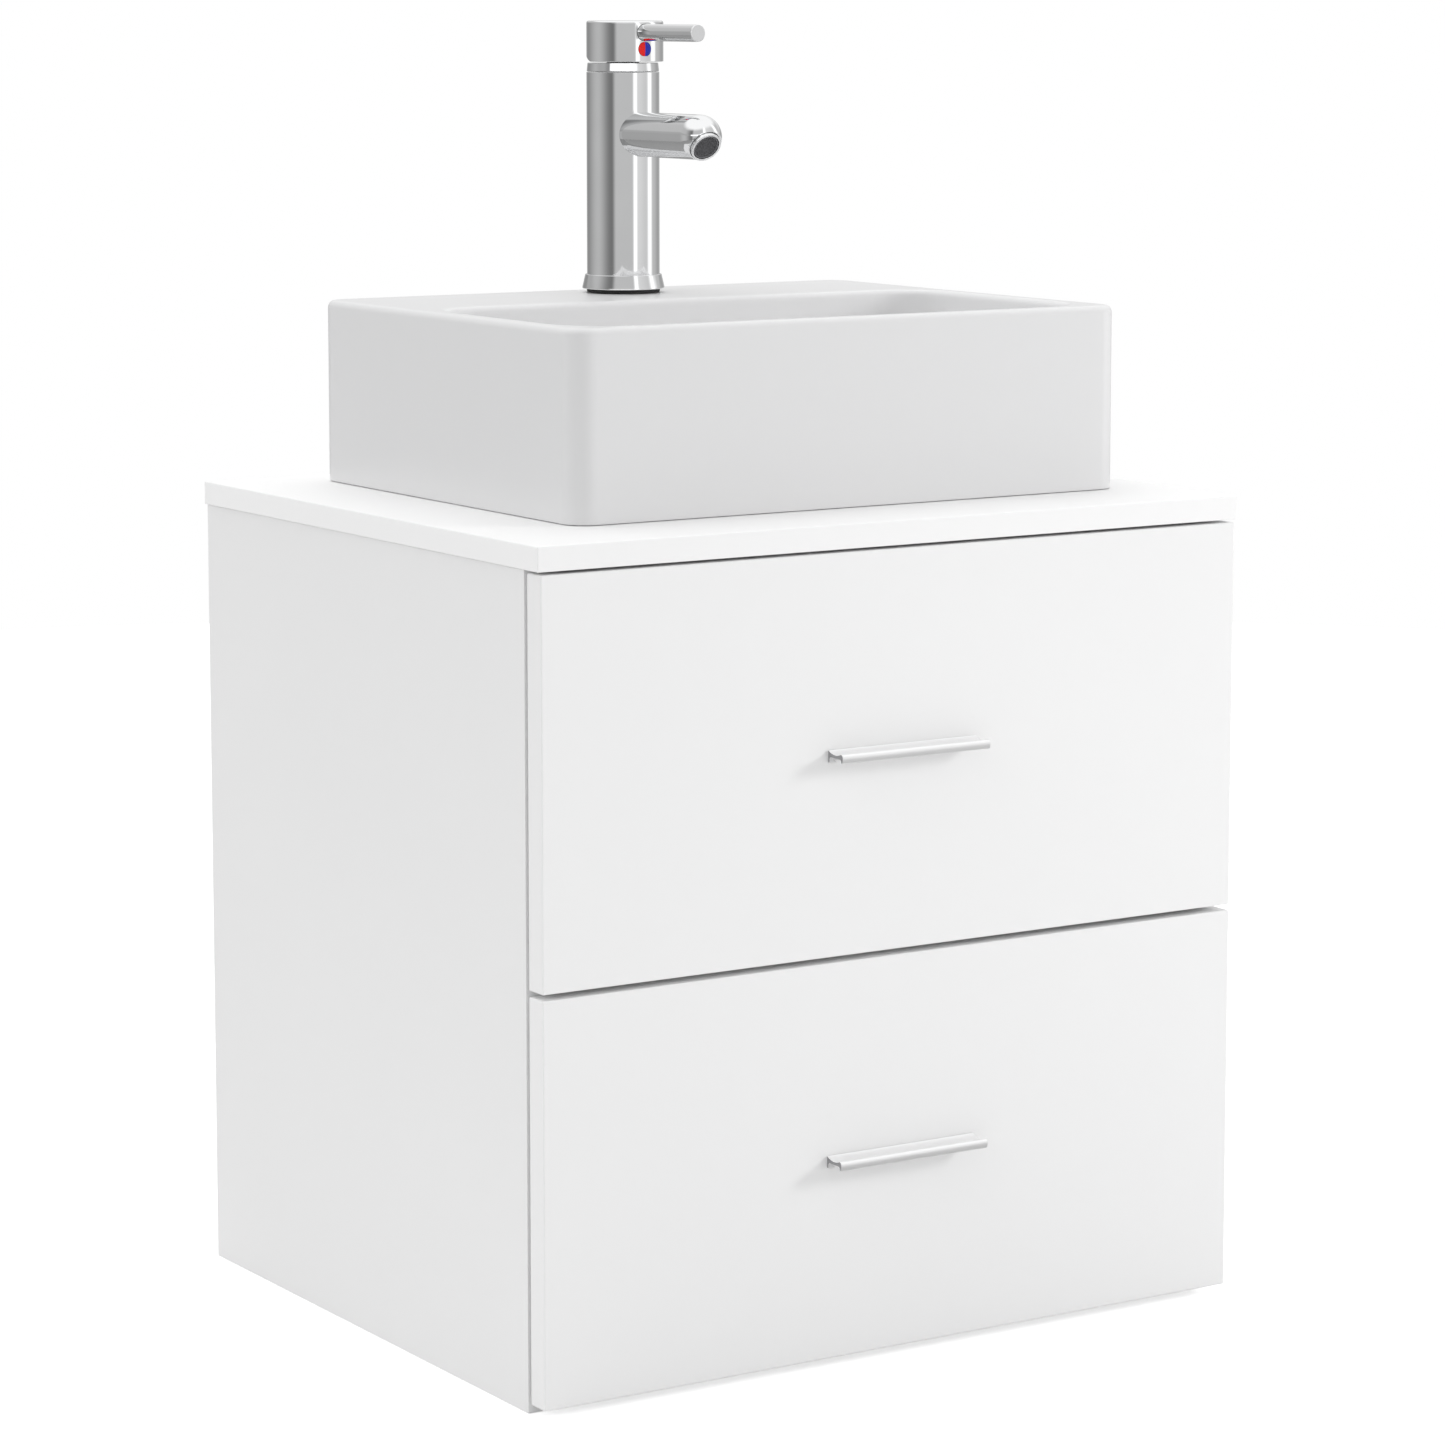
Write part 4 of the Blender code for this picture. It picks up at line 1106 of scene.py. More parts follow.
@dataclass
class Basin:
    """The glazed basin: straight walls, a soft lip, a deep rectangular bowl and a flat tap ledge behind it."""

    corner: float = 0.016
    foot_edge: float = 0.0008
    lip: float = 0.0045
    rim: float = 0.015
    bowl_depth: float = 0.0875
    bowl_wall: float = 0.040
    bowl_back: float = 0.204  # from the basin's front to the bowl's back edge
    bowl_corner: float = 0.035
    sweep: float = 0.043
    floor_fall: float = 0.0035
    ledge: float = 0.0185
    pocket_wall: float = 0.014
    tap_hole: float = 0.0175
    seat_radius: float = 0.0330
    seat_depth: float = 0.0028
    drain_radius: float = 0.0225
    nut_recess: float = 0.042
    nut_roof: float = 0.0117
    corner_steps: int = 14
    lip_steps: int = 9
    sweep_steps: int = 16
    floor_steps: int = 6
    wall_taper: float = 0.002  # how far the bowl's wall draws in down to the sweep
    corner_growth: float = 0.3  # gain of the corners' radius for each metre of inset
    floor_curve: float = 1.5
    support: float = 0.0008  # how close a guard loop runs to a rounding

    def build(self) -> None:
        """Builds the basin's skin section by section, and cuts the pocket under the ledge."""
        shape = self.loft(self.sections())
        low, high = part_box("basin")
        bowl_back = low.y + self.bowl_back
        pocket = Shape.block(
            (low.x + self.pocket_wall, bowl_back + 0.0125, low.z - 0.001),
            (high.x - self.pocket_wall, high.y - self.pocket_wall + 0.002, high.z - self.ledge),
        )
        tap = middle("tap_gasket")
        hole = upright_hole(tap, high.z - 0.03, high.z + 0.01, self.tap_hole)
        shape.cut(pocket, hole).deliver("glazed_basin", Finishes.GLAZE, ["basin"])

    def sections(self) -> list[Section]:
        """The skin's outlines: up the outside, over the lip, down the bowl and out under the foot."""
        low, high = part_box("basin")
        centre = ((low.x + high.x) / 2, (low.y + high.y) / 2)
        half = ((high.x - low.x) / 2, (high.y - low.y) / 2)

        def outside(inset: float, height: float) -> Section:
            """The outer wall's outline, drawn in by an inset."""
            return Section(centre, (half[0] - inset, half[1] - inset), self.corner - inset, height)

        made = [outside(self.foot_edge * (1 - math.sin(turn)), low.z + self.foot_edge * (1 - math.cos(turn)))
                for turn in (0.0, math.pi / 4, math.pi / 2)]
        made.append(outside(0.0, low.z + self.foot_edge + self.support))
        made.append(outside(0.0, high.z - self.lip - self.support))
        lip_turns = [math.pi / 2 * step / self.lip_steps for step in range(self.lip_steps + 1)]
        for turn in lip_turns:
            made.append(outside(self.lip * (1 - math.cos(turn)), high.z - self.lip * (1 - math.sin(turn))))
        made.append(outside(self.lip + self.support, high.z))

        front, back = low.y + self.rim, low.y + self.bowl_back
        drain = middle("waste_body")
        bowl_centre = (drain.x, (front + back) / 2)
        bowl_half = (half[0] - self.rim, (back - front) / 2)

        def inside(inset: float, depth: float, radius: float) -> Section:
            """The bowl's outline at a depth, drawn in by an inset."""
            halves = (bowl_half[0] - inset, bowl_half[1] - inset)
            return Section(bowl_centre, halves, radius, high.z - depth)

        made.append(inside(-self.lip - self.support, 0.0, self.bowl_corner + self.lip + self.support))
        for turn in lip_turns:
            inset = -self.lip * (1 - math.sin(turn))
            made.append(inside(inset, self.lip * (1 - math.cos(turn)), self.bowl_corner - inset))
        made.append(inside(0.0002, self.lip + self.support, self.bowl_corner))
        sweep_depth = self.bowl_depth - self.bowl_wall - self.floor_fall
        for step in range(self.sweep_steps + 1):
            turn = math.pi / 2 * step / self.sweep_steps
            inset = self.wall_taper + self.sweep * (1 - math.cos(turn))
            radius = self.bowl_corner + inset * self.corner_growth
            made.append(inside(inset, self.bowl_wall + sweep_depth * math.sin(turn), radius))

        floor_edge = made[-1]
        seat_z = high.z - self.bowl_depth

        def drain_ring(radius: float, height: float) -> Section:
            """A round outline about the waste."""
            return Section((drain.x, drain.y), (radius, radius), radius, height)

        seat = drain_ring(self.seat_radius, seat_z)
        for step in range(1, self.floor_steps):
            share = step / self.floor_steps
            fall = self.floor_fall * (1 - (1 - share) ** self.floor_curve)
            made.append(floor_edge.towards(seat, share, floor_edge.height - fall))
        made.append(seat)
        seat_floor = seat_z - self.seat_depth
        made += [drain_ring(self.seat_radius, seat_floor), drain_ring(self.drain_radius, seat_floor)]
        roof = low.z + self.nut_roof
        made += [drain_ring(self.drain_radius, roof), drain_ring(self.nut_recess, roof)]
        made.append(drain_ring(self.nut_recess, low.z))
        return made

    def loft(self, sections: Sequence[Section]) -> Shape:
        """Draws the first outline, extrudes it to each of the next and bridges the last to the first.

        Args:
            sections: The outlines in order.

        Returns:
            A closed ring-shaped skin.
        """
        made = Shape()
        mesh = made.mesh
        rank = mesh.verts.layers.int.new("rank")
        per_corner = self.corner_steps + 1
        bmesh.ops.create_circle(mesh, cap_ends=False, radius=1.0, segments=4 * per_corner)
        mesh.verts.ensure_lookup_table()
        for index, vert in enumerate(mesh.verts):
            vert[rank] = index

        def settle(verts: Iterable[bmesh.types.BMVert], section: Section) -> None:
            """Moves one ring of vertices onto an outline."""
            for vert in verts:
                quarter, step = divmod(vert[rank], per_corner)
                vert.co = section.point(quarter, step / self.corner_steps)

        first_edges = list(mesh.edges)
        settle(mesh.verts, sections[0])
        edges = first_edges
        for section in sections[1:]:
            grown = bmesh.ops.extrude_edge_only(mesh, edges=edges)["geom"]
            settle((item for item in grown if isinstance(item, bmesh.types.BMVert)), section)
            edges = [item for item in grown if isinstance(item, bmesh.types.BMEdge)]
        bmesh.ops.bridge_loops(mesh, edges=first_edges + edges)
        return made.close_up()


def ribs(place: Place, radius: float, low: float, high: float, count: int, width: float, height: float) -> Shape:
    """Grip ribs round a nut or a cup, part sunk into it.

    Args:
        place: The nut's axis.
        radius: Distance from the axis to the ribs' outer faces.
        low: Where the ribs start along the axis.
        high: Where they end.
        count: How many.
        width: Width of each.
        height: How deep each goes towards the axis.

    Returns:
        One shape that holds them all.
    """
    made = Shape()
    for index in range(count):
        rib = Shape.block((radius - height, -width / 2, low), (radius, width / 2, high)).soften(width * 0.3, 2)
        turn = Matrix.Rotation(math.tau * index / count, 3, "Z")
        bmesh.ops.rotate(rib.mesh, verts=rib.mesh.verts, cent=(0, 0, 0), matrix=place.turn() @ turn)
        bmesh.ops.translate(rib.mesh, verts=rib.mesh.verts, vec=place.start)
        made.add(rib)
    return made


def thread(radius: float, depth: float, pitch: float, low: float, high: float) -> list[tuple[float, float]]:
    """The profile of a threaded stretch, from its high end down to its low end."""
    count = int((high - low) / pitch)
    points = []
    for index in range(count):
        crest = high - index * pitch
        points += [(radius, crest), (radius, crest - pitch * 0.2)]
        points += [(radius - depth, crest - pitch * 0.5), (radius - depth, crest - pitch * 0.7)]
    points.append((radius, high - count * pitch))
    return points


@dataclass
class Drainage:
    """The click waste in the bowl and the bottle trap below it."""

    flange_radius: float = 0.0325
    flange: float = 0.0025
    tube_radius: float = 0.020
    tube_bore: float = 0.017
    tube_end: float = 0.432
    thread_end: float = 0.462
    bar_low: float = 0.515
    bar_high: float = 0.523
    rounding: float = 0.0012
    nut_bore: float = 0.0204
    dip_bore: float = 0.0140
    neck_low: float = 0.372
    neck_high: float = 0.425
    edge: float = 0.0006

    def build(self) -> None:
        """Builds the waste, its plug and nut, and the trap."""
        centre = middle("waste_body")
        self.axis = Place(Vector((centre.x, centre.y, 0)))
        self.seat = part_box("waste_body")[1].z
        self.build_waste()
        self.build_plug()
        self.build_nuts()
        self.build_trap()

    def build_waste(self) -> None:
        """Builds the flanged tube with its thread and the bar that guides the plug."""
        under, edge = self.seat - self.flange, 0.0010
        thread_start = under - 0.008
        profile = [(self.tube_bore, self.seat - self.rounding)]
        profile += arc((self.tube_bore + self.rounding, self.seat - self.rounding), self.rounding, 180, 90, 5)[1:]
        profile += arc((self.flange_radius - edge, self.seat - edge), edge, 90, 0, 5)
        profile += [(self.flange_radius, under), (self.tube_radius, under), (self.tube_radius, thread_start)]
        profile += thread(self.tube_radius, 0.0007, 0.0020, self.thread_end, thread_start)
        profile += [(self.tube_radius, self.tube_end + 0.0005), (self.tube_radius - 0.0005, self.tube_end)]
        profile += [(self.tube_bore, self.tube_end)]
        waste = Shape.turned(profile, self.axis, closed=True)
        low, high = self.bar_low, self.bar_high
        half, web, guide_radius, past = self.tube_bore + 0.0015, 0.0062, 0.0044, 0.01
        spot = self.axis.start
        bar = Shape.block((spot.x - half, spot.y - web, low), (spot.x + half, spot.y + web, high))
        hole = Shape.rod(guide_radius, spot + Vector((0, 0, low - past)), spot + Vector((0, 0, high + past)))
        waste.join(bar).cut(hole).deliver("threaded_waste", Finishes.CHROME, ["waste_body"])

    def build_plug(self) -> None:
        """Builds the domed click plug on its stem."""
        low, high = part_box("waste_plug")
        radius, stem = (high.x - low.x) / 2, 0.004
        rest = self.seat + CLEARANCE
        profile = [(0, low.z), (stem - 0.0005, low.z), (stem, low.z + 0.0005), (stem, rest)]
        profile += [(radius - self.rounding, rest)]
        profile += arc((radius - self.rounding, rest + self.rounding), self.rounding, -90, 60, 8)
        edge_radius, edge_z = profile[-1]
        profile += dome(edge_radius, edge_z, high.z - edge_z, 14)
        Shape.turned(profile, self.axis).deliver("domed_plug", Finishes.CHROME, ["waste_plug"])

    def build_nuts(self) -> None:
        """Builds the ribbed lock nut under the basin and the trap's inlet nut."""
        low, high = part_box("waste_lock_nut")
        bore, skin, flange, under = self.tube_radius + 0.0004, 0.0300, 0.0360, high.z - 0.003
        profile = [(bore, low.z), (skin, low.z), (skin, under), (flange, under)]
        profile += [(flange, high.z), (bore, high.z)]
        nut = Shape.turned(profile, self.axis, closed=True).soften(self.edge / 2, 2)
        nut.add(ribs(self.axis, 0.0310, low.z + 0.0005, high.z - 0.0031, 12, 0.004, 0.0025))
        nut.deliver("ribbed_lock_nut", Finishes.WHITE_PLASTIC, ["waste_lock_nut"])

        low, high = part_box("trap_inlet_nut")
        outer = (high.x - low.x) / 2
        bore = self.nut_bore
        profile = [(bore, low.z), (outer - 0.0009, low.z), (outer - 0.0016, high.z), (bore, high.z)]
        nut = Shape.turned(profile, self.axis, closed=True).soften(self.edge, 3)
        nut.add(ribs(self.axis, outer - 0.0005, low.z + 0.001, high.z - 0.002, 36, 0.0016, 0.0015))
        nut.deliver("ribbed_inlet_nut", Finishes.WHITE_PLASTIC, ["trap_inlet_nut"])

    def build_trap(self) -> None:
        """Builds the bottle trap: its body and dip tube, its cup and the pipe to the wall."""
        low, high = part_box("trap_body")
        outer = (high.x - low.x) / 2
        outlet = middle("trap_outlet_pipe")
        dip_skin, neck_bore, seat = 0.0165, 0.0245, self.tube_end - 0.0004
        profile = [
            (self.dip_bore, low.z), (dip_skin, low.z), (dip_skin, self.neck_high), (neck_bore, self.neck_high),
            (neck_bore, self.neck_low), (outer, self.neck_low), (outer, high.z), (self.nut_bore, high.z),
            (self.nut_bore, seat), (self.dip_bore, seat),
        ]
        body = Shape.turned(profile, self.axis, closed=True).soften(self.edge, 3)
        spot = Vector((self.axis.start.x, self.axis.start.y, outlet.z))
        socket = ((0, 0.0255), (0.0180, 0.0255), (0.0180, 0.0340), (0.0190, 0.0350), (0.0190, 0.0444),
                  (0.0184, 0.0450), (0, 0.0450))
        body.join(Shape.turned(socket, Place(spot, BACKWARDS)))
        bore = Shape.rod(0.0163, spot + Vector((0, 0.0205, 0)), spot + Vector((0, 0.055, 0)), TURN_STEPS)
        body.cut(bore).deliver("bottle_trap_body", Finishes.WHITE_PLASTIC, ["trap_body"])

        low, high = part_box("trap_cup")
        outer = (high.x - low.x) / 2
        skin = outer - 0.0008
        profile = [(0, low.z), (0.0255, low.z)]
        profile += arc((0.0240, low.z + 0.0062), 0.0062, -75, -5, 6)
        profile += [(skin, low.z + 0.0090), (skin, high.z - 0.0010), (skin - 0.0010, high.z), (0.0274, high.z)]
        profile += [(0.0274, low.z + 0.010), (0.0240, low.z + 0.0045), (0, low.z + 0.0045)]
        cup = Shape.turned(profile, self.axis)
        cup.add(ribs(self.axis, outer, low.z + 0.010, high.z - 0.004, 40, 0.0018, 0.0020))
        cup.deliver("ribbed_trap_cup", Finishes.WHITE_PLASTIC, ["trap_cup"])

        low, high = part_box("trap_outlet_pipe")
        outer, length = (high.x - low.x) / 2, high.y - low.y
        profile = [(0.0142, 0), (outer, 0), (outer, length), (0.0142, length)]
        start = Place(Vector((outlet.x, low.y, outlet.z)), BACKWARDS)
        pipe = Shape.turned(profile, start, closed=True).soften(0.0004, 2)
        pipe.deliver("outlet_pipe_tube", Finishes.WHITE_PLASTIC, ["trap_outlet_pipe"])


# ---------------------------------------------------------------- tap


@dataclass
class Tap:
    """The chrome pin-lever tap. Heights are above the basin's ledge and Y runs back from the tap's axis."""

    body_radius: float = 0.0238
    body_base: float = 0.0029
    body_top: float = 0.1436
    spout_radius: float = 0.0144
    spout_height: float = 0.1035
    spout_straight: float = 0.0927
    spout_nose: float = 0.0140
    nose_power: float = 2.3
    aerator_tilt: float = math.radians(35)
    aerator_radius: float = 0.0103
    aerator_face: float = 0.0115
    nose_cut: float = 0.0090
    screen_radius: float = 0.0086
    cartridge_radius: float = 0.0180
    cartridge_base: float = 0.1160
    cap_radius: float = 0.0251
    cap_base: float = 0.1504
    cap_top: float = 0.1768
    cap_shift: float = -0.0026
    cap_edge: float = 0.0016
    cap_cavity: float = 0.0205
    cap_roof: float = 0.1605
    lift_angle: float = math.radians(21)
    pin_radius: float = 0.0055
    pin_height: float = 0.1692
    pin_root: float = -0.0205
    pin_tip: float = -0.092
    disc_radius: float = 0.0046
    disc_height: float = 0.1586
    foot_recess: float = 0.019
    water_bore: float = 0.008
    nose_steps: int = 24
    skirt_cut: float = 0.040  # reach of the wedge cut from the skirt
    body_steps: int = 192
    edge: float = 0.0003

    def build(self) -> None:
        """Builds every visible piece of the tap and dresses its inner ones."""
        centre = middle("tap_gasket")
        self.foot = Vector((centre.x, centre.y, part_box("basin")[1].z))
        self.build_rings()
        self.build_body()
        self.build_aerator()
        self.build_cap()
        self.build_pin()
        self.build_disc()
        self.dress_inner_pieces()

    def at(self, x: float, y: float, height: float) -> Vector:
        """A point given from the tap's axis and the ledge."""
        return self.foot + Vector((x, y, height))

    def nose(self) -> Vector:
        """Where the spout's straight part ends, on its axis."""
        return self.at(0, -self.spout_straight, self.spout_height)

    def water_way(self) -> Vector:
        """The direction in which the water leaves."""
        return Vector((0, -math.cos(self.aerator_tilt), -math.sin(self.aerator_tilt)))

    def build_rings(self) -> None:
        """Builds the gasket, the conical ring round the foot and the trim ring under the cap."""
        axis = Place(self.foot)
        gasket = [(0.0195, CLEARANCE), (0.0239, CLEARANCE), (0.0239, 0.0024), (0.0195, 0.0024)]
        Shape.turned(gasket, axis, closed=True).soften(0.0004, 3).deliver(
            "rubber_gasket", Finishes.RUBBER, ["tap_gasket"])
        cone = [(0.0241, 0.0027), (0.0269, 0.0027), (0.0269, 0.0037), (0.0250, 0.0120), (0.0241, 0.0120)]
        Shape.turned(cone, axis, closed=True, steps=self.body_steps).soften(self.edge, 3).deliver(
            "conical_base_ring", Finishes.CHROME, ["tap_base_ring"])
        trim = [(0.0112, 0.1439), (0.0234, 0.1439), (0.0236, 0.1444), (0.02358, 0.1446), (0.02312, 0.1491),
                (0.0231, 0.1493), (0.0228, 0.1496), (0.0112, 0.1496)]
        Shape.turned(trim, axis, closed=True, steps=self.body_steps).deliver(
            "tapered_trim_ring", Finishes.CHROME, ["tap_trim_ring"])

    def build_body(self) -> None:
        """Builds the upright body with its spout, and the bores inside it."""
        edge = self.edge
        profile = [(0, self.body_base), (self.body_radius, self.body_base)]
        profile += arc((self.body_radius - edge, self.body_top - edge), edge, 0, 90, 3)
        profile.append((0, self.body_top))
        body = Shape.turned(profile, Place(self.foot), steps=self.body_steps)
        body.join(self.spout())
        down = self.water_way()
        face = self.nose() + down * self.nose_cut
        body.cut(
            Shape.rod(0.030, face, face + down * 0.030),
            Shape.rod(self.aerator_radius + CLEARANCE, self.nose() - down * 0.001, face + down * 0.01, TURN_STEPS),
            Shape.rod(self.cartridge_radius, self.at(0, 0, self.cartridge_base), self.at(0, 0, 0.16), TURN_STEPS),
            Shape.rod(self.foot_recess, self.at(0, 0, -0.010), self.at(0, 0, 0.022), TURN_STEPS),
            Shape.rod(self.water_bore, self.at(0, 0.004, self.spout_height), self.nose()),
        )
        body.deliver("polished_body_and_spout", Finishes.CHROME, ["tap_body"])

    def spout(self) -> Shape:
        """The straight spout with its rounded nose."""
        profile = [(0, 0.005), (self.spout_radius, 0.005), (self.spout_radius, self.spout_straight)]
        power = 2 / self.nose_power
        for step in range(1, self.nose_steps):
            angle = math.pi / 2 * step / self.nose_steps
            radius = self.spout_radius * math.cos(angle) ** power
            profile.append((radius, self.spout_straight + self.spout_nose * math.sin(angle) ** power))
        profile.append((0, self.spout_straight + self.spout_nose))
        axis = Place(self.at(0, 0, self.spout_height), FORWARDS)
        return Shape.turned(profile, axis, steps=self.body_steps)

    def build_aerator(self) -> None:
        """Builds the collar, the insert and the wire mesh over it."""
        axis = Place(self.nose(), self.water_way())
        lip, face = self.screen_radius + CLEARANCE, self.aerator_face
        collar = [(0.0070, -0.0005), (self.aerator_radius, -0.0005), (self.aerator_radius, face), (lip, face),
                  (lip, face - 0.0040), (0.0070, face - 0.0040)]
        Shape.turned(collar, axis, closed=True).soften(0.0004, 4).deliver(
            "aerator_collar", Finishes.CHROME, ["tap_aerator"])
        insert = Shape.rod(self.screen_radius, axis.along(face - 0.0037), axis.along(face - 0.0012), TURN_STEPS)
        insert.deliver("aerator_insert", Finishes.SCREEN_BACK, ["tap_aerator_screen"])
        self.wire_mesh(axis, face - 0.0011).deliver(
            "aerator_mesh", Finishes.SCREEN_WIRE, ["tap_aerator_screen"], replaces=False)

    def wire_mesh(self, axis: Place, depth: float) -> Shape:
        """A round of square wire mesh.

        Args:
            axis: The aerator's axis.
            depth: Where the mesh lies along it.

        Returns:
            The wires and their round frame.
        """
        made = Shape()
        mesh = made.mesh
        radius, cells, wire = self.screen_radius - 0.0004, 18, 0.00026
        bmesh.ops.create_grid(mesh, x_segments=cells, y_segments=cells, size=radius)
        outside = [face for face in mesh.faces if face.calc_center_median().length > radius - wire]
        bmesh.ops.delete(mesh, geom=outside, context="FACES")
        bmesh.ops.wireframe(
            mesh, faces=mesh.faces, thickness=wire, offset=0.0, use_replace=True, use_boundary=True,
            use_even_offset=True,
        )
        bmesh.ops.rotate(mesh, verts=mesh.verts, cent=(0, 0, 0), matrix=axis.turn())
        bmesh.ops.translate(mesh, verts=mesh.verts, vec=axis.along(depth + wire))
        rim = ((radius - 0.0004, depth), (radius + 0.0003, depth), (radius + 0.0003, depth + 0.0006),
               (radius - 0.0004, depth + 0.0006))
        return made.add(Shape.turned(rim, axis, closed=True).soften(0.00015, 2))

    def build_cap(self) -> None:
        """Builds the lever's cap, with the wedge cut from the back of its skirt."""
        edge, foot_edge = self.cap_edge, 0.0004
        axis = Place(self.at(0, self.cap_shift, 0))
        profile = [(0, self.cap_roof), (self.cap_cavity, self.cap_roof), (self.cap_cavity, self.cap_base)]
        profile += arc((self.cap_radius - foot_edge, self.cap_base + foot_edge), foot_edge, -90, 0, 3)
        profile += arc((self.cap_radius - edge, self.cap_top - edge), edge, 0, 90, 8)
        profile += [(self.cap_radius - edge - 0.0006, self.cap_top), (0, self.cap_top)]
        cap = Shape.turned(profile, axis, steps=self.body_steps)
        reach, below = self.skirt_cut, self.cap_base - 0.01
        rise = reach * math.tan(self.lift_angle)
        wedge = ((0.0, self.cap_base), (reach, self.cap_base + rise), (reach, below), (0.0, below))
        front = self.cap_shift - self.cap_radius
        cap.cut(
            Shape.swept([self.at(-0.03, y, height) for y, height in wedge], Vector((0.06, 0, 0))),
            Shape.block(self.at(-0.0045, -0.0038, 0.158), self.at(0.0045, 0.0038, 0.1685)),
            Shape.rod(self.pin_radius + 0.0002, self.at(0, self.pin_root + CLEARANCE, self.pin_height),
                      self.at(0, -0.040, self.pin_height), TURN_STEPS),
            Shape.rod(self.disc_radius + CLEARANCE, self.at(0, front + 0.0016, self.disc_height),
                      self.at(0, front - 0.01, self.disc_height), TURN_STEPS),
        )
        cap.deliver("lever_cap", Finishes.CHROME, ["tap_lever_cap"])

    def build_pin(self) -> None:
        """Builds the round lever, with a satin end face."""
        length = self.pin_root - self.pin_tip
        round_off = 0.0005
        profile = [(0, 0), (self.pin_radius, 0)]
        profile += arc((self.pin_radius - round_off, length - round_off), round_off, 0, 90, 4)
        profile += [(self.pin_radius - round_off - 0.0002, length), (0, length)]
        pin = Shape.turned(profile, Place(self.at(0, self.pin_root, self.pin_height), FORWARDS))
        tip = self.at(0, self.pin_tip, 0).y
        pin.paint(1, lambda face: abs(face.calc_center_median().y - tip) < 10 * MERGE)
        pin.deliver("lever_pin", Finishes.CHROME, ["tap_lever_pin"], [Finishes.SATIN_CHROME])

    def build_disc(self) -> None:
        """Builds the domed hot and cold marker."""
        front = self.cap_shift - self.cap_radius
        place = Place(self.at(0, front + 0.0013, self.disc_height), FORWARDS)
        rim, crown = 0.0012, 0.0016
        profile = [(0, 0), (self.disc_radius, 0), (self.disc_radius, rim - 0.0002), (self.disc_radius, rim)]
        profile += dome(self.disc_radius, rim, crown - rim, 10)
        marker = MarkerFinish("hot_and_cold_marker", middle_x=self.foot.x)
        Shape.turned(profile, place).deliver("domed_marker", marker, ["tap_temperature_disc"])

    def dress_inner_pieces(self) -> None:
        """Softens and dresses the pieces inside and under the tap."""
        inner = {
            "tap_cartridge": Finishes.GREY_PLASTIC, "tap_cartridge_carrier": Finishes.WHITE_PLASTIC,
            "tap_lever_stem": Finishes.GREY_PLASTIC, "tap_stud": Finishes.ZINC,
            "tap_clamp_plate": Finishes.ZINC, "tap_stud_nut": Finishes.ZINC,
        }
        for node, finish in inner.items():
            Shape.of_node(node).soften(self.edge, 2).deliver(f"{node}_softened", finish, [node])


# ---------------------------------------------------------------- studio


@dataclass(frozen=True)
class Softbox:
    """A square lamp that lights the object but does not show in reflections."""

    name: str
    spot: tuple[float, float, float]
    size: float
    power: float


# Radiance of the surround by bearing in degrees, 0 towards the camera and positive to its right: a soft panel on the
# left, a dark flag in front on the left, a soft grey centre, and two strip lights on the right.
PANELS: Bands = (
    (-85, 0.55), (-35, 0.20), (-20, 0.60), (30, 0.60), (40, 1.60), (50, 0.80), (80, 0.70), (95, 1.50), (110, 0.60),
)


